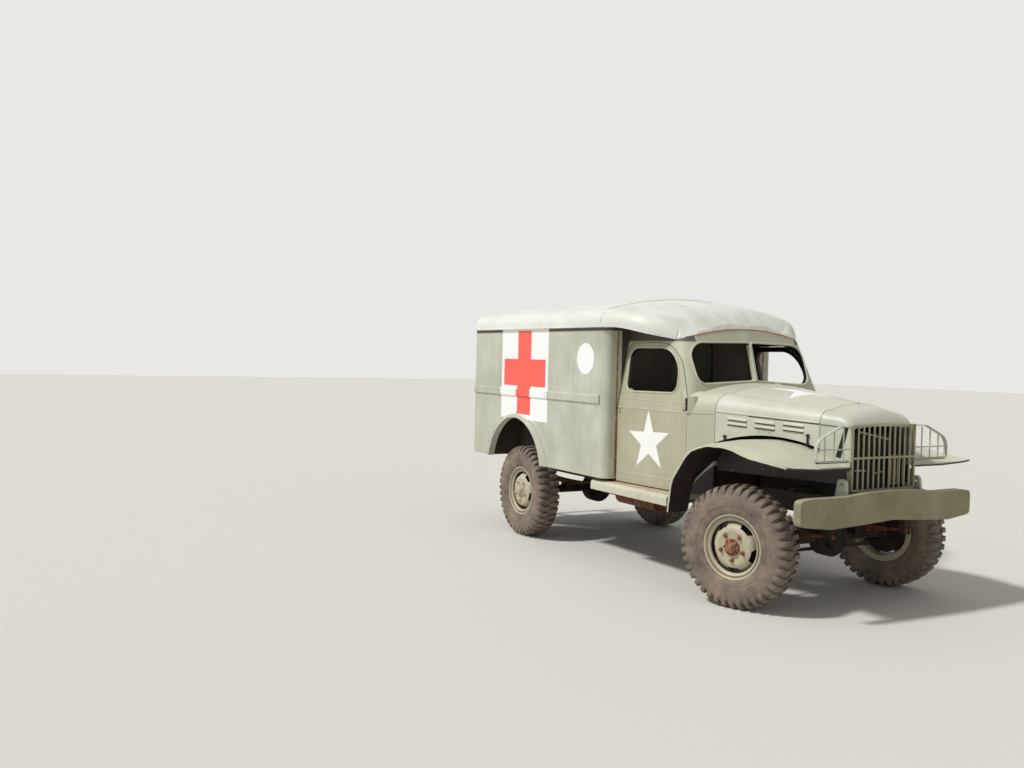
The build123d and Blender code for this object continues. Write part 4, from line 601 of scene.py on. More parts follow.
def tyre_rubber():
    """Dried rubber: grey-brown, with dust in broad patches."""
    material, tree, shader, place = new_material("dried_tyre_rubber")
    spot = place.outputs["Object"]
    dusty = noise(tree, spot, 6, 8, 0.7)
    add_ramp(tree, shader, dusty, (0.34, "#5E534B"), (0.5, "#786B60"), (0.68, "#94846F"))
    shader.inputs["Roughness"].default_value = 0.8
    add_bump(tree, shader, noise(tree, spot, 260, 4), 0.35, 0.0008)
    return material


rubber = tyre_rubber()
wheel_enamel = weathered_enamel("wheel_olive_enamel", "#ADA78B", "#BFB99F", "#8B8166", 0.5, rust_share=0.025,
                                streaks=0.1)
print("rust and rubber ready")

# %% [markdown]
# ## Paint on the solids
# Each solid takes the finish of what it is. The outside sheets are enamel, the frame and axles are dusty and
# rusty, and the wheel arches show the brown underside of the fenders.

# %% Finishes of the solids
FINISHES = [  # material, the solids that take it
    (cab_enamel, "cab_upper"),
    (cowl_enamel, "cowl"),
    (body_enamel, "rear_frame rear_door_left rear_door_right fuel_tank rear_step"),
    (nose_enamel, "nose_panel hood_hinge lamp_guards tow_eyes"),
    (fender_enamel, "fender_left fender_right"),
    (bumper_enamel, "bumper_front"),
    (box_paint, "body_side_left body_side_right rub_rails"),
    (door_paint, "cab_door_left cab_door_right"),
    (hood_paint, "hood_left hood_right"),
    (roof_enamel, "roof_front roof_rear"),
    (grille_enamel, "grille"),
    # the inside solids take the painted-shade enamel
    (inner_shade_enamel, "cab_floor seat_boxes body_floor locker_left locker_right bulkhead"),
    (frame_enamel, "frame_rails frame_crossmembers step_brackets gearbox prop_shafts tie_rod"),
    (arch_rust, "firewall axle_front axle_rear knuckle_left knuckle_right spring_hangers"),
    (rusty_steel, "springs_front springs_rear exhaust"),
    (old_iron, "engine_block"),
    (radiator_core, "radiator"),
    (wheel_enamel, "wheel_front_left wheel_front_right wheel_rear_left wheel_rear_right"),
    (highlight_trim_enamel, "running_boards"),
    (rubber, "tyre_front_left tyre_front_right tyre_rear_left tyre_rear_right"),
]
for material, names in FINISHES:
    for name in names.split():
        for place in nodes[name].material_slots:
            place.material = material
print("finishes", len(FINISHES))

# %% [markdown]
# ## Meshes, from bmesh to a riding piece
# Every new piece ends the same way: its mesh gets soft corners by angle, one material and a body to ride on.
# A bead, such as a window's rolled edge, is a round wire that follows a chain of points. The points are found
# by casting rays at the sheet that carries it, so the bead lies on the metal however the metal curves.

# %% Piece helpers
SIDES = (("left", 1), ("right", -1))
BEAD_SMOOTH = 60
RAY_START = 1.2
SPUN_SMOOTH = 35


def make_piece(name, mesh, material, body, smooth=40, move=None):
    """Turns a bmesh, first moved to its place where one is given, into an object that rides on a body."""
    if move is not None:
        bmesh.ops.transform(mesh, matrix=move, verts=mesh.verts)
    bmesh.ops.recalc_face_normals(mesh, faces=mesh.faces)
    data = bpy.data.meshes.new(name)
    mesh.to_mesh(data)
    mesh.free()
    data.polygons.foreach_set("use_smooth", [True] * len(data.polygons))
    data.set_sharp_from_angle(angle=math.radians(smooth))
    data.materials.append(material)
    piece = bpy.data.objects.new(name, data)
    bpy.context.collection.objects.link(piece)
    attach(piece, body)
    return piece


def add_bar(mesh, start, end, radius, segments=12, radius_end=None):
    """A round bar between two points, added to a bmesh."""
    start, end = Vector(start), Vector(end)
    turn = (end - start).to_track_quat("Z", "Y").to_matrix().to_4x4()
    move = Matrix.Translation((start + end) / 2) @ turn
    bmesh.ops.create_cone(mesh, cap_ends=True, segments=segments, radius1=radius,
                          radius2=radius if radius_end is None else radius_end,
                          depth=(end - start).length, matrix=move)


def soften(mesh, edges, reach, segments=2):
    """Rounds edges by a small bevel: what the operator made."""
    return bmesh.ops.bevel(mesh, geom=edges, offset=reach, segments=segments, affect="EDGES", profile=0.5,
                           material=-1)


def add_block(mesh, low, high, soft=0.0):
    """A block between two corners, with its edges rounded by a small bevel."""
    low, high = Vector(low), Vector(high)
    move = Matrix.Translation((low + high) / 2) @ Matrix.Diagonal((*(high - low), 1))
    made = bmesh.ops.create_cube(mesh, size=1, matrix=move)["verts"]
    if soft:
        soften(mesh, list({edge for vert in made for edge in vert.link_edges}), soft)


def add_bead(mesh, points, radius, closed=False):
    """A round bead that follows a chain of points, added to a bmesh."""
    path = bpy.data.curves.new("bead_path", "CURVE")
    path.dimensions = "3D"
    path.bevel_depth = radius
    path.bevel_resolution = 2
    path.use_fill_caps = not closed
    line = path.splines.new("POLY")
    line.points.add(len(points) - 1)
    for spot, point in zip(line.points, points):
        spot.co = (*point, 1)
    line.use_cyclic_u = closed
    holder = bpy.data.objects.new("bead_path", path)
    tube = bpy.data.meshes.new_from_object(holder)
    mesh.from_mesh(tube)
    bpy.data.objects.remove(holder)
    bpy.data.curves.remove(path)
    bpy.data.meshes.remove(tube)


def skin_of(name):
    """A ray caster on one solid of the truck."""
    data = nodes[name].data
    faces = [face.vertices[:] for face in data.polygons]
    return BVHTree.FromPolygons([vert.co for vert in data.vertices], faces)


def cast(skin, origin, way):
    """Where a ray first meets a skin, or None."""
    return skin.ray_cast(Vector(origin), Vector(way).normalized())[0]


def rounded(corners, steps=8):
    """Points round a closed outline of u, v, radius, with each corner drawn as an arc."""
    points = []
    for index, (u, v, radius) in enumerate(corners):
        here = Vector((u, v))
        back = (Vector(corners[index - 1][:2]) - here).normalized()
        on = (Vector(corners[(index + 1) % len(corners)][:2]) - here).normalized()
        half = back.angle(on) / 2
        centre = here + (back + on).normalized() * radius / math.sin(half)
        start = here + back * radius / math.tan(half) - centre
        end = here + on * radius / math.tan(half) - centre
        turn = start.angle_signed(end)
        for step in range(steps + 1):
            angle = -turn * step / steps
            points.append(centre + Matrix.Rotation(angle, 2) @ start)
    return points


print("piece helpers ready")

# %% [markdown]
# ## Road tyres
# A cross-country tyre has plain bulging walls and short thick bars across each shoulder, cut deep so that mud
# falls out. The carcass is a profile spun round the axle. One bar is extruded from its own outline, bevelled,
# and then turned round the carcass forty times on each side, staggered by half a step.

# %% Tyre carcass and bars
ROUND_STEPS = 120
BAR_COUNT = 40
BAR_STAGGER = 0.25
BAR_HALF_WIDTH = 0.0195
BAR_NARROW_Y = 0.03
BAR_NARROWING = 0.72
CARCASS = [  # radius, distance outboard from the tyre's middle
    (0.208, 0.088), (0.240, 0.093), (0.246, 0.1000), (0.258, 0.1045), (0.284, 0.1105), (0.289, 0.1085),
    (0.294, 0.1125), (0.320, 0.1160), (0.345, 0.1170), (0.366, 0.1155), (0.384, 0.1115), (0.400, 0.1040),
    (0.416, 0.0900), (0.426, 0.0680), (0.430, 0.0350), (0.431, 0.0),
]
BAR_OUTLINE = [  # radius, distance outboard
    (0.420, 0.004), (0.447, 0.006), (0.449, 0.040), (0.4475, 0.074), (0.440, 0.095), (0.424, 0.1090),
    (0.402, 0.1140), (0.376, 0.1128), (0.380, 0.100), (0.412, 0.078),
]


def add_ring(mesh, profile, steps, closed=True):
    """A profile of radius and distance outboard spun round the Y axis."""
    verts = [mesh.verts.new((0, out, radius)) for radius, out in profile]
    edges = [mesh.edges.new(pair) for pair in zip(verts, verts[1:])]
    if closed:
        edges.append(mesh.edges.new((verts[-1], verts[0])))
    bmesh.ops.spin(mesh, geom=verts + edges, cent=(0, 0, 0), axis=(0, 1, 0), angle=math.tau, steps=steps,
                   use_merge=True)


def tyre_mesh():
    """A tyre about the Y axis, centred on the origin."""
    mesh = bmesh.new()
    add_ring(mesh, CARCASS + [(radius, -out) for radius, out in CARCASS[-2::-1]], ROUND_STEPS)
    for side in (-1, 1):
        bar = bmesh.new()
        outline = [bar.verts.new((-BAR_HALF_WIDTH, side * out, radius)) for radius, out in BAR_OUTLINE]
        face = bar.faces.new(outline)
        grown = bmesh.ops.extrude_face_region(bar, geom=[face])["geom"]
        moved = [item for item in grown if isinstance(item, bmesh.types.BMVert)]
        bmesh.ops.translate(bar, verts=moved, vec=(2 * BAR_HALF_WIDTH, 0, 0))
        # a worn bar is rounded on top and narrows towards the tread's middle
        for vert in bar.verts:
            if abs(vert.co.y) < BAR_NARROW_Y:
                vert.co.x *= BAR_NARROWING
        soften(bar, bar.edges[:], 0.005)
        one = bpy.data.meshes.new("tread_bar")
        bar.to_mesh(one)
        bar.free()
        for index in range(BAR_COUNT):
            start = len(mesh.verts)
            mesh.from_mesh(one)
            mesh.verts.ensure_lookup_table()
            turn = Matrix.Rotation(math.tau * (index + side * BAR_STAGGER) / BAR_COUNT, 3, "Y")
            bmesh.ops.rotate(mesh, verts=mesh.verts[start:], cent=(0, 0, 0), matrix=turn)
        bpy.data.meshes.remove(one)
    return mesh


# %% Placing the tyres
REST_STEER = math.radians(17)
WHEEL_PLACES = {}
for joint in frame["record"]["behaviour"]["joints"]:
    if joint["child"].startswith(("front_wheel", "rear_wheel")):
        side = 1 if joint["child"].endswith("left") else -1
        turn = REST_STEER if joint["child"].startswith("front") else 0.0
        facing = Matrix.Rotation(turn + (0 if side == 1 else math.pi), 4, "Z")
        WHEEL_PLACES[joint["child"]] = Matrix.Translation(Vector(joint["pos_m"])) @ facing
for body, move in WHEEL_PLACES.items():
    end, side = body.split("_")[0], body.split("_")[2]
    tyre = make_piece(f"road_tyre_{end}_{side}", tyre_mesh(), rubber, body, 32, move)
    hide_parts(f"tyre_{end}_{side}")
print("tyres", len(WHEEL_PLACES))

# %% [markdown]
# ## Wheels
# A pressed disc wheel is a rolled rim with a dish riveted inside it. The rim's edge is folded over and has a
# second bead inside, and the disc bulges outwards with five hand holes near its edge. The rim and disc are
# profiles spun round the axle. The disc's faces inside five notches go before it gets its thickness.

# %% Rim, disc and hub pieces
RIM_PROFILE = [  # radius, distance outboard
    (0.206, -0.089), (0.240, -0.089), (0.2405, -0.096), (0.226, -0.097), (0.198, -0.092), (0.190, -0.03),
    (0.190, 0.068), (0.194, 0.077), (0.201, 0.080), (0.207, 0.0865), (0.212, 0.0875), (0.216, 0.082),
    (0.220, 0.0835), (0.226, 0.0925), (0.232, 0.0965), (0.238, 0.0960), (0.2402, 0.092), (0.240, 0.086),
    (0.206, 0.078),
]
DISC_ROWS = [  # radius, distance outboard: the pressed dish from its flange to the stud ring
    (0.191, 0.026), (0.184, 0.029), (0.177, 0.038), (0.170, 0.052), (0.162, 0.066), (0.151, 0.078),
    (0.137, 0.086), (0.120, 0.0905), (0.113, 0.0905), (0.109, 0.0885), (0.078, 0.0885), (0.0615, 0.0880),
]
NOTCH_COUNT = 5
NOTCH_SHARE = 0.50
STUD_RING = 0.0965
DISC_FACE = 0.0885
DISC_THICKNESS = 0.006
NOTCH_RADII = (0.148, 0.189)
HUB_BOLT_RING = 0.0525
WELL_PROFILE = [(0.1898, 0.034), (0.1880, 0.034), (0.1880, 0.0665), (0.1898, 0.0665)]
DRUM_OUT = 0.0145
DRUM_PROFILE = [
    (0.045, DRUM_OUT), (0.150, DRUM_OUT), (0.164, 0.010), (0.166, -0.030), (0.160, -0.030), (0.158, 0.006),
    (0.045, 0.008),
]


def disc_mesh():
    """The dish with five notches in its edge."""
    dish = bmesh.new()
    add_ring(dish, DISC_ROWS, ROUND_STEPS, closed=False)
    wedge = math.tau / NOTCH_COUNT
    gone = []
    for face in dish.faces:
        middle = face.calc_center_median()
        radius = math.hypot(middle.x, middle.z)
        share = (math.atan2(middle.x, middle.z) / wedge) % 1
        # a notch is as wide as the share at the rim and rounds off towards the middle
        depth = (radius - NOTCH_RADII[0]) / (NOTCH_RADII[1] - NOTCH_RADII[0])
        if 0 < depth < 1 and abs(share - 0.5) < NOTCH_SHARE / 2 * min(1, depth + 0.55):
            gone.append(face)
    bmesh.ops.delete(dish, geom=gone, context="FACES")
    bmesh.ops.recalc_face_normals(dish, faces=dish.faces)
    bmesh.ops.solidify(dish, geom=dish.faces[:], thickness=DISC_THICKNESS)
    return dish


def wheel_mesh():
    """The rim with its dish riveted inside."""
    mesh = disc_mesh()
    add_ring(mesh, RIM_PROFILE, 96)
    return mesh


# start and end out from the disc, radius and sides: washer, nut and stud
FASTENER = [(-0.002, 0.006, 0.0165, 16), (0.005, 0.019, 0.0125, 6), (0.018, 0.030, 0.0070, 10)]
HUB_CAP = [
    (0.0605, 0.070), (0.062, 0.094), (0.060, 0.099), (0.045, 0.101), (0.041, 0.118), (0.036, 0.124),
    (0.024, 0.126), (0.021, 0.131), (0.0, 0.131),
]
HUB_BOLT_START, HUB_BOLT_END, HUB_STUD_END = 0.096, 0.111, 0.118
HUB_BOLT_RADIUS = 0.0078


def nuts_mesh():
    """Five wheel nuts on their studs."""
    mesh = bmesh.new()
    for index in range(NOTCH_COUNT):
        angle = math.tau * (index + 0.5) / NOTCH_COUNT
        across, upward = STUD_RING * math.sin(angle), STUD_RING * math.cos(angle)
        for start, end, radius, sides in FASTENER:
            foot, top = (Vector((across, DISC_FACE + out, upward)) for out in (start, end))
            add_bar(mesh, foot, top, radius, sides)
    return mesh


def hub_mesh(front):
    """The driven hub: a flange with a ring of bolts round a stepped cap."""
    mesh = bmesh.new()
    add_ring(mesh, HUB_CAP, 40, closed=False)
    bmesh.ops.remove_doubles(mesh, verts=mesh.verts, dist=0.0004)
    count = 8 if front else 6
    for index in range(count):
        angle = math.tau * index / count
        across, upward = HUB_BOLT_RING * math.sin(angle), HUB_BOLT_RING * math.cos(angle)
        reach = HUB_BOLT_END if index % 2 or not front else HUB_STUD_END
        add_bar(mesh, (across, HUB_BOLT_START, upward), (across, reach, upward), HUB_BOLT_RADIUS, 6)
    return mesh


# %% Placing the wheels
for body, move in WHEEL_PLACES.items():
    end, side = body.split("_")[0], body.split("_")[2]
    wheel = make_piece(f"road_wheel_{end}_{side}", wheel_mesh(), wheel_enamel, body, SPUN_SMOOTH, move)
    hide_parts(f"wheel_{end}_{side}")
    bare = hub_rust if end == "front" else wheel_enamel
    hub = make_piece(f"wheel_hub_{end}_{side}", hub_mesh(end == "front"), bare, body, SPUN_SMOOTH, move)
    nuts = make_piece(f"wheel_nuts_{end}_{side}", nuts_mesh(), bare, body, SPUN_SMOOTH, move)
    # a dark liner in the rim's well: dirt and painted shade
    mesh = bmesh.new()
    add_ring(mesh, WELL_PROFILE, 96)
    well = make_piece(f"muddy_rim_well_{end}_{side}", mesh, arch_rust, body, SPUN_SMOOTH, move)
    mesh = bmesh.new()
    add_ring(mesh, DRUM_PROFILE, 64)
    drum = make_piece(f"brake_drum_{end}_{side}", mesh, arch_rust, body, SPUN_SMOOTH, move)
print("wheels", len(WHEEL_PLACES))

# %% [markdown]
# ## Rolled edges of the windows
# Sheet steel round a window is rolled into a bead, which makes it stiff and keeps the rain out. Its paler
# enamel is a painted highlight, and it casts a thin shadow. Each bead follows a rounded outline of four
# corners, laid on the sheet.

# %% Window beads
BOX_FRONT = 0.211
CAB_REAR_HALF = 0.828
SIDE_TURN = math.atan2(0.068, 0.876)
DOOR_WINDOW = [(0.083, 1.519, 0.083), (0.713, 1.527, 0.069), (0.701, 1.903, 0.269), (0.051, 1.901, 0.093)]
WINDOW_BEAD, PANE_BEAD = 0.0065, 0.0085
PROUD = 0.001
PANE = [(0.006, 1.635, 0.024), (0.609, 1.603, 0.089), (0.631, 1.949, 0.139), (0.006, 1.961, 0.024)]


def cab_side_point(skin, side, along, z, stand_off=0.0):
    """A point of the cab's side at a distance along it and a height."""
    way = Vector((-math.sin(SIDE_TURN), -side * math.cos(SIDE_TURN), 0))
    out = CAB_REAR_HALF - along * math.sin(SIDE_TURN)
    start = Vector((BOX_FRONT + along * math.cos(SIDE_TURN), side * out, z))
    hit = cast(skin, start - way * 0.3, way)
    return hit - way * stand_off


for name, side in SIDES:
    skin = skin_of(f"cab_door_{name}")
    mesh = bmesh.new()
    ring = [cab_side_point(skin, side, u, z, PROUD) for u, z in rounded(DOOR_WINDOW)]
    add_bead(mesh, ring, WINDOW_BEAD, closed=True)
    bead = make_piece(f"door_window_bead_{name}", mesh, highlight_trim_enamel, f"door_{name}", BEAD_SMOOTH)
skin = skin_of("cab_upper")
mesh = bmesh.new()
for side in (-1, 1):
    ring = [cast(skin, (1.6, side * y, z), (-1, 0, 0)) for y, z in rounded(PANE)]
    add_bead(mesh, [point + Vector((PROUD, 0, 0)) for point in ring if point], PANE_BEAD, closed=True)
bead = make_piece("windscreen_beads", mesh, highlight_trim_enamel, "root", BEAD_SMOOTH)
print("window beads made")

# %% [markdown]
# ## Creases of the doors and the cowl
# Two pressed creases run along each door, one at the belt and one a hand above it, and the belt crease goes
# on over the cowl. A third closes the door's lower panel. They are thin beads laid on the sheet by rays, in
# paler enamel that is a painted highlight.

# %% Creases
BELT_CREASE_Z = 1.381
CREASE_START = 0.016
CREASE_STEPS = 24
# height, end and radius
CREASES = [(BELT_CREASE_Z, 0.868, 0.0045), (1.457, 0.855, 0.0035), (0.822, 0.868, 0.0035)]
for name, side in SIDES:
    skin = skin_of(f"cab_door_{name}")
    mesh = bmesh.new()
    for z, end, radius in CREASES:
        span = end - CREASE_START
        places = [CREASE_START + span * step / CREASE_STEPS for step in range(CREASE_STEPS + 1)]
        chain = [cab_side_point(skin, side, along, z) for along in places]
        add_bead(mesh, [point for point in chain if point], radius)
    bead = make_piece(f"door_creases_{name}", mesh, highlight_trim_enamel, f"door_{name}", BEAD_SMOOTH)

# %% Cowl and hood beads
HOOD_REAR, HOOD_FRONT = 1.261, 2.126
# each line runs between two stations, an x and a z
COWL_LINE = (1.106, BELT_CREASE_Z), (1.256, BELT_CREASE_Z + 0.003)
NOSE_LINE = (2.129, 1.357), (2.344, 1.345)
HOOD_LINE = (HOOD_REAR + 0.008, 1.402), (HOOD_FRONT - 0.008, 1.368)
COWL_BEAD, NOSE_BEAD, HOOD_BEAD, FOLD_BEAD = 0.0045, 0.0030, 0.007, 0.0035
FOLD_DROP = Vector((0, 0, 0.010))
FOLD_FROM = 8
HOOD_SKINS = {name: skin_of(f"hood_{name}") for name, _ in SIDES}
cowl_skin, nose_skin = skin_of("cowl"), skin_of("nose_panel")


def side_line(skin, side, start, end, steps=24):
    """Points on a skin's side between two stations, each an x and a z, cast in from the side."""
    chain = []
    for step in range(steps + 1):
        share = step / steps
        x, z = (a + (b - a) * share for a, b in zip(start, end))
        hit = cast(skin, (x, side * RAY_START, z), (0, -side, 0))
        if hit:
            chain.append(hit)
    return chain


mesh = bmesh.new()
for side in (-1, 1):
    add_bead(mesh, side_line(cowl_skin, side, *COWL_LINE), COWL_BEAD)
bead = make_piece("cowl_beads", mesh, highlight_trim_enamel, "root", BEAD_SMOOTH)
# a dark line across the nose: painted shade in the fold's joint
mesh = bmesh.new()
for side in (-1, 1):
    add_bead(mesh, side_line(nose_skin, side, *NOSE_LINE), NOSE_BEAD)
bead = make_piece("nose_fold_joint", mesh, gap_shade, "root", BEAD_SMOOTH)
for name, side in SIDES:
    mesh = bmesh.new()
    line = side_line(HOOD_SKINS[name], side, *HOOD_LINE)
    add_bead(mesh, line, HOOD_BEAD)
    bead = make_piece(f"hood_side_bead_{name}", mesh, highlight_trim_enamel, f"hood_half_{name}", BEAD_SMOOTH)
    # a dark line just below the side bead: painted shade in the fold's joint
    mesh = bmesh.new()
    add_bead(mesh, [point - FOLD_DROP for point in line[FOLD_FROM:]], FOLD_BEAD)
    joint = make_piece(f"hood_fold_joint_{name}", mesh, gap_shade, f"hood_half_{name}", BEAD_SMOOTH)
print("creases and beads made")

# %% [markdown]
# ## Louvres, latches and bolts of the hood
# Each side of the hood breathes through six long pressed louvres, in pairs. A louvre is a bulge that is cut
# open along its lower edge: a block whose upper edge is pushed in and rounded, over a slot that is a dark
# block of painted shade. Two black latches hold each half down.

# %% Louvres
LOUVRES = [(1.457, 1.353), (1.457, 1.316), (1.690, 1.345), (1.690, 1.308), (1.919, 1.344), (1.919, 1.307)]
LOUVRE_SIZE = (0.177, 0.019, 0.024)
HOOD_TAPER = math.atan2(0.303, 1.089)
LOUVRE_TUCK = 0.42
LOUVRE_NARROWING = 0.96
LOUVRE_ROUND = 0.005
SLOT_PLACE = (0, 0.0035, -0.0150)
SLOT_SIZE = (0.168, 0.009, 0.0060)


def side_frame(skin, side, x, z, slope=-0.05):
    """A matrix at a point of the hood's side: along it, outwards and up."""
    hit = cast(skin, (x, side * RAY_START, z), (0, -side, 0))
    along = Vector((math.cos(HOOD_TAPER), -side * math.sin(HOOD_TAPER), slope)).normalized()
    out = Vector((math.sin(HOOD_TAPER), side * math.cos(HOOD_TAPER), 0))
    rise = Vector((0, 0, 1))
    return Matrix.Translation(hit) @ Matrix((along, out, rise)).transposed().to_4x4()


def add_louvre(mesh, move):
    """One louvre at a place on the hood's side."""
    long, deep, tall = LOUVRE_SIZE
    size = Matrix.Diagonal((long, deep, tall, 1))
    made = bmesh.ops.create_cube(mesh, size=1, matrix=size)["verts"]
    for vert in made:
        if vert.co.y > 0 and vert.co.z > 0:
            vert.co.y -= deep * LOUVRE_TUCK
            vert.co.x *= LOUVRE_NARROWING
    edges = list({edge for vert in made for edge in vert.link_edges})
    bevelled = soften(mesh, edges, LOUVRE_ROUND, 3)
    whole = {vert for face in bevelled["faces"] for vert in face.verts}
    bmesh.ops.transform(mesh, matrix=move, verts=list(whole))


for name, side in SIDES:
    skin = HOOD_SKINS[name]
    mesh, slots = bmesh.new(), bmesh.new()
    for x, z in LOUVRES:
        place = side_frame(skin, side, x, z)
        one = bmesh.new()
        add_louvre(one, place)
        data = bpy.data.meshes.new("louvre")
        one.to_mesh(data)
        one.free()
        mesh.from_mesh(data)
        bpy.data.meshes.remove(data)
        # a dark block under each louvre: painted shade in its slot
        low = place @ Matrix.Translation(SLOT_PLACE)
        bmesh.ops.create_cube(slots, size=1, matrix=low @ Matrix.Diagonal((*SLOT_SIZE, 1)))
    louvres = make_piece(f"hood_louvres_{name}", mesh, hood_paint, f"hood_half_{name}", 50)
    gaps = make_piece(f"louvre_slots_{name}", slots, gap_shade, f"hood_half_{name}")

# %% Latches and bolt heads
LATCHES = [(1.356, 1.196, 0.052), (2.036, 1.240, 0.080)]  # x, z, height
STEM_WIDTH = 0.010
HEAD_WIDTH, HEAD_TALL = 0.026, 0.014
FOOT_WIDTH, FOOT_TALL = 0.022, 0.016
LATCH_DEPTH = 0.016
HOLE_RADIUS = 0.006
HOLES = [(1.644, 1.267), (1.727, 1.266)]
for name, side in SIDES:
    mesh = bmesh.new()
    for x, z, tall in LATCHES:
        place = side_frame(HOOD_SKINS[name], side, x, z, 0)
        top = tall / 2
        for low, high, wide in ((-top, top, STEM_WIDTH), (top - HEAD_TALL, top, HEAD_WIDTH),
                                (-top, -top + FOOT_TALL, FOOT_WIDTH)):
            move = place @ Matrix.Translation((0, LATCH_DEPTH / 2, (low + high) / 2))
            size = Matrix.Diagonal((wide, LATCH_DEPTH, high - low, 1))
            bmesh.ops.create_cube(mesh, size=1, matrix=move @ size)
    for x, z in HOLES:
        place = side_frame(HOOD_SKINS[name], side, x, z, 0)
        add_bar(mesh, place @ Vector((0, -0.002, 0)), place @ Vector((0, 0.001, 0)), HOLE_RADIUS, 10)
    soften(mesh, mesh.edges[:], 0.002, 1)
    latches = make_piece(f"hood_latches_{name}", mesh, old_iron, f"hood_half_{name}")
print("louvres", len(LOUVRES) * 2)

# %% [markdown]
# ## Rain edge, roof seam and the rusty joint behind the door
# The roof is welded on over the walls, and its lower edge stands out as a rain drip that throws a dark line
# on the wall. A raised seam crosses the roof where its two parts meet, another runs over the windscreen, and
# where the cab meets the box the damp joint has rusted through its paint.

# %% Rain edge and seams
BOX_REAR, ROOF_SEAM = -2.299, 0.125
DRIP_Y = (0.957, 0.983)
DRIP_Z = (2.0685, 2.079)
ARCH_MIDDLE_Z = 2.07
SEAM_BEAD = 0.0045
roof_skin, dome_skin = skin_of("roof_rear"), skin_of("roof_front")
mesh = bmesh.new()
for side in (-1, 1):
    low, high = sorted(side * y for y in DRIP_Y)
    add_block(mesh, (BOX_REAR + 0.002, low, DRIP_Z[0]), (ROOF_SEAM + 0.055, high, DRIP_Z[1]), 0.003)
drip = make_piece("roof_rain_edge", mesh, roof_enamel, "root")


# share of the half turn where the rays begin, and the share they sweep
ROOF_FROM, ROOF_SWEEP = 0.012, 0.976


def over_roof(skin, x, centre_z, steps=64):
    """Points of the roof's skin over a station, from one side to the other."""
    chain = []
    for step in range(steps + 1):
        angle = math.pi * (ROOF_FROM + ROOF_SWEEP * step / steps)
        way = Vector((0, math.cos(angle), math.sin(angle)))
        hit = cast(skin, Vector((x, 0, centre_z)) + way * 1.6, -way)
        if hit:
            chain.append(hit)
    return chain


mesh = bmesh.new()
add_bead(mesh, over_roof(roof_skin, ROOF_SEAM - 0.004, ARCH_MIDDLE_Z), SEAM_BEAD)
seam = make_piece("roof_cross_seam", mesh, body_enamel, "root", BEAD_SMOOTH)

# %% Header seam and the joint behind the door
RAY_STEP = 0.003
HEADER_HALF = 0.640
HEADER_STEPS = 44
HEADER_Z = (1.97, 2.12)
HEADER_BEAD = 0.0042
STRIP_Y = (0.8295, 0.8440)
STRIP_Z = (0.775, 2.03)


def lowest_hit(skin, x, y, low, high, way, outer=0.0):
    """The lowest point that level rays from x, y meet on a skin, at least outer from the centre line."""
    for index in range(int((high - low) / RAY_STEP)):
        hit = cast(skin, (x, y, low + index * RAY_STEP), way)
        if hit and abs(hit.y) >= outer:
            return hit
    return None


mesh = bmesh.new()
chain = []
for step in range(HEADER_STEPS + 1):
    y = -HEADER_HALF + 2 * HEADER_HALF * step / HEADER_STEPS
    hit = lowest_hit(dome_skin, 1.7, y, *HEADER_Z, (-1, 0, 0))
    if hit:
        chain.append(hit + Vector((0.001, 0, 0.001)))
print("header seam points", len(chain))
add_bead(mesh, chain, HEADER_BEAD)
seam = make_piece("header_seam", mesh, seam_rust, "root", BEAD_SMOOTH)
mesh = bmesh.new()
for side in (-1, 1):
    low, high = sorted(side * y for y in STRIP_Y)
    add_block(mesh, (BOX_FRONT + 0.0002, low, STRIP_Z[0]), (BOX_FRONT + 0.0035, high, STRIP_Z[1]))
joint_strip = make_piece("rusty_cab_joint", mesh, seam_rust, "root")
print("seams made")

# %% [markdown]
# ## Running boards, hinges and bolt heads
# The boards' tops are trodden to bare pale metal. Hinge sleeves are dark with old grease, and small bolt
# heads hold the rub rails.

# %% Board tops, hinge sleeves, bolts
BOARD_REAR, BOARD_FRONT = -0.005, 1.077
BOARD_Y = (0.732, 0.902)
TREAD_COUNT = 6
TREAD_INSET, TREAD_END = 0.0015, 0.012
TREAD_Z = (0.7245, 0.7275)
SLEEVE_RADIUS, SLEEVE_RING_RADIUS = 0.0108, 0.0125
SLEEVE_ENDS = (0.002, 0.102)
SLEEVE_RINGS = (0.020, 0.052, 0.084)
RING_TALL = 0.004
HANDLE_HOLE_ALONG = 0.040
HANDLE_HOLE_RADIUS = 0.0075
DOOR_HINGE = (1.089289, 0.771858)
HINGE_FEET = (0.900, 1.395)
HANDLE_HOLE_HEIGHTS = (1.335, 1.362)
RAIL_BOLT_START, RAIL_BOLT_PITCH, RAIL_BOLT_COUNT = -2.24, 0.289, 9
RAIL_BOLT_HEIGHTS = (1.423, 1.451)
RAIL_BOLT_Y = (0.968, 0.9728)
RAIL_BOLT_RADIUS = 0.006
mesh = bmesh.new()
for side in (-1, 1):
    low, high = sorted(side * y for y in BOARD_Y)
    for rib in range(TREAD_COUNT):
        start = low + (high - low) * rib / TREAD_COUNT
        end = start + (high - low) / TREAD_COUNT
        add_block(mesh, (BOARD_REAR + TREAD_END, start + TREAD_INSET, TREAD_Z[0]),
                  (BOARD_FRONT - TREAD_END, end - TREAD_INSET, TREAD_Z[1]), 0.001)
treads = make_piece("board_treads", mesh, trodden_board, "root")

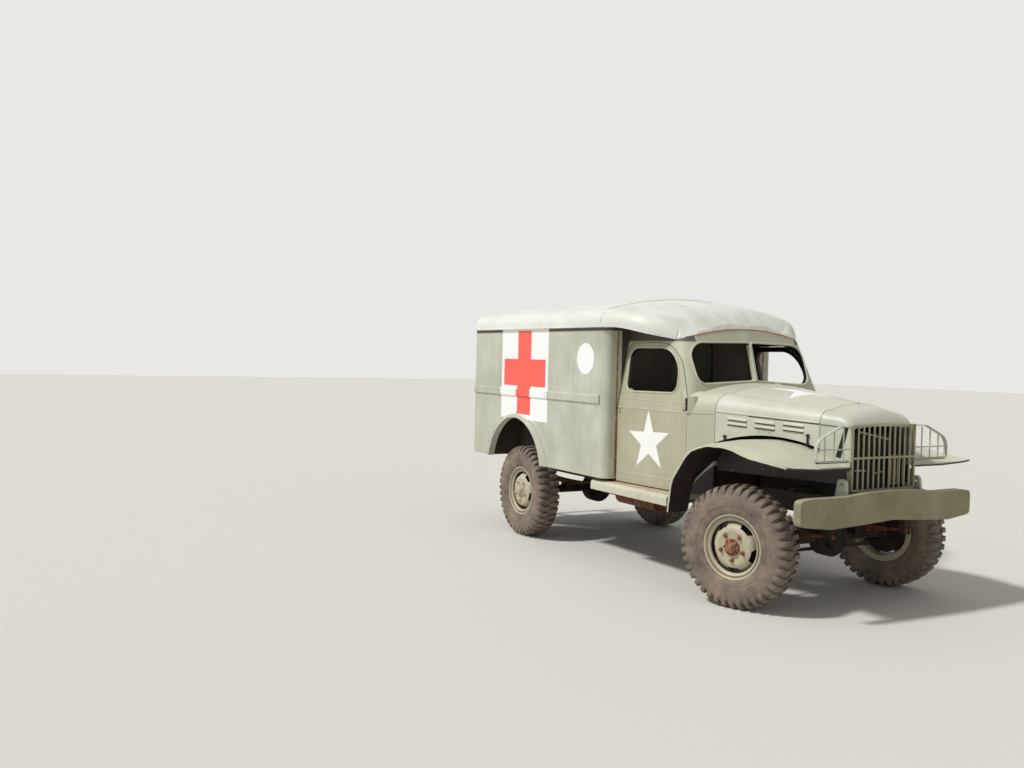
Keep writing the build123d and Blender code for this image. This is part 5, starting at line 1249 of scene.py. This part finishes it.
for name, side in SIDES:
    mesh = bmesh.new()
    x, y = DOOR_HINGE[0], side * DOOR_HINGE[1]
    for z in HINGE_FEET:
        foot, top = ((x, y, z + end) for end in SLEEVE_ENDS)
        add_bar(mesh, foot, top, SLEEVE_RADIUS, 20)
        for ring in SLEEVE_RINGS:
            add_bar(mesh, (x, y, z + ring), (x, y, z + ring + RING_TALL), SLEEVE_RING_RADIUS, 20)
    sleeve = make_piece(f"door_hinge_sleeves_{name}", mesh, old_iron, f"door_{name}")
    skin = skin_of(f"cab_door_{name}")
    # dark discs: painted shade in the empty handle holes
    mesh = bmesh.new()
    for z in HANDLE_HOLE_HEIGHTS:
        spot = cab_side_point(skin, side, HANDLE_HOLE_ALONG, z)
        out = Vector((math.sin(SIDE_TURN), side * math.cos(SIDE_TURN), 0))
        add_bar(mesh, spot - out * 0.001, spot + out * 0.001, HANDLE_HOLE_RADIUS, 14)
    holes = make_piece(f"door_handle_holes_{name}", mesh, gap_shade, f"door_{name}")

mesh = bmesh.new()
for side in (-1, 1):
    for step in range(RAIL_BOLT_COUNT):
        x = RAIL_BOLT_START + RAIL_BOLT_PITCH * step
        for z in RAIL_BOLT_HEIGHTS:
            foot, top = ((x, side * y, z) for y in RAIL_BOLT_Y)
            add_bar(mesh, foot, top, RAIL_BOLT_RADIUS, 8)
bolts = make_piece("rub_rail_bolts", mesh, body_enamel, "root")
print("bolts made")

# %% [markdown]
# ## Front end
# The grille is a comb of bars, and behind it hang what is left of the radiator and a broken slanting strut.
# Round-headed bolts hold the bumper to the frame horns.

# %% Behind the grille
STRUT_X = 2.352
STRUTS = [  # the y and z of each end, and the radius
    ((-0.230, 1.318), (0.060, 1.262), 0.007), ((-0.270, 1.045), (-0.165, 1.040), 0.006),
    ((-0.075, 1.020), (0.010, 1.030), 0.006),
]
FINS_Y = (0.120, 0.165, 0.205, 0.262)
FIN_HALF = 0.013
FIN_X = (2.318, 2.330)
FIN_Z = (0.925, 1.145)
mesh = bmesh.new()
for start, end, radius in STRUTS:
    add_bar(mesh, (STRUT_X, *start), (STRUT_X, *end), radius, 10)
for y in FINS_Y:
    add_block(mesh, (FIN_X[0], y - FIN_HALF, FIN_Z[0]), (FIN_X[1], y + FIN_HALF, FIN_Z[1]), 0.002)
scraps = make_piece("radiator_scraps", mesh, grille_enamel, "root")

# %% [markdown]
# A tall slanting dark plate lies on the nose's side beside the grille, painted shade with its corners on four
# points of the sheet. A black strip of painted shade lies under each lamp guard.

# %% Nose slots and guard feet
FOOT_X, FOOT_Z, FOOT_RADIUS = 2.364, 1.113, 0.0085
FOOT_Y = (0.352, 0.660)
SLOT_DEPTH, SLOT_THICK = 0.002, 0.0035
SLOT_CORNERS = [(2.306, 1.352), (2.334, 1.344), (2.284, 1.128), (2.246, 1.136)]
mesh, feet = bmesh.new(), bmesh.new()
for side in (-1, 1):
    corners = [cast(nose_skin, (x, side * RAY_START, z), (0, -side, 0)) for x, z in SLOT_CORNERS]
    out = Vector((0.27, side * 0.96, 0))
    verts = [mesh.verts.new(corner - out * SLOT_DEPTH) for corner in corners]
    face = mesh.faces.new(verts)
    grown = bmesh.ops.extrude_face_region(mesh, geom=[face])["geom"]
    moved = [item for item in grown if isinstance(item, bmesh.types.BMVert)]
    bmesh.ops.translate(mesh, verts=moved, vec=out * SLOT_THICK)
    start, end = ((FOOT_X, side * y, FOOT_Z) for y in FOOT_Y)
    add_bar(feet, start, end, FOOT_RADIUS, 10)
slots = make_piece("nose_side_shade_plates", mesh, gap_shade, "root")
feet = make_piece("guard_foot_shade_strips", feet, gap_shade, "root")

# %% [markdown]
# The fenders' edges are rolled round a wire, which leaves a thin lip above the wheel, made bright by a
# painted highlight.

# %% Fender lips
FENDER_ENDS = (1.118, 2.415)
FENDER_Z = (0.66, 1.35)
FENDER_EDGE_Y = 0.88
LIP_RADIUS = 0.0055
LIP_RISE = Vector((0, 0, 0.003))


def fender_edge(skin, side, steps=70):
    """Points along the fender's outer edge, found from outside by rays from low to high."""
    chain = []
    for step in range(steps + 1):
        x = FENDER_ENDS[0] + (FENDER_ENDS[1] - FENDER_ENDS[0]) * (step / steps) ** 1.5
        hit = lowest_hit(skin, x, side * RAY_START, *FENDER_Z, (0, -side, 0), FENDER_EDGE_Y)
        if hit:
            chain.append(hit + LIP_RISE)
    return chain


mesh = bmesh.new()
for name, side in SIDES:
    chain = fender_edge(skin_of(f"fender_{name}"), side)
    print("fender edge points", len(chain), [round(v, 3) for v in chain[0]], [round(v, 3) for v in chain[-1]])
    add_bead(mesh, chain, LIP_RADIUS)
lips = make_piece("fender_lips", mesh, highlight_trim_enamel, "root", BEAD_SMOOTH)

# %% Bumper bolts
BUMPER_BOLTS = [(y, z) for z in (0.755, 0.835) for y in (0.355, 0.405)]
BUMPER_BOLT_X = (2.448, 2.4655)
BOLT_RADIUS, BOLT_TOP_RADIUS = 0.011, 0.008
mesh = bmesh.new()
for side in (-1, 1):
    for y, z in BUMPER_BOLTS:
        foot, top = ((x, side * y, z) for x in BUMPER_BOLT_X)
        add_bar(mesh, foot, top, BOLT_RADIUS, 14, BOLT_TOP_RADIUS)
bolts = make_piece("bumper_bolts", mesh, bumper_enamel, "root")
print("front end made")

# %% [markdown]
# ## Sizes
# The dressed truck must stay in the solids' box, so the box of everything shown is measured.

# %% Boxes
import json

low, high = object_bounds()
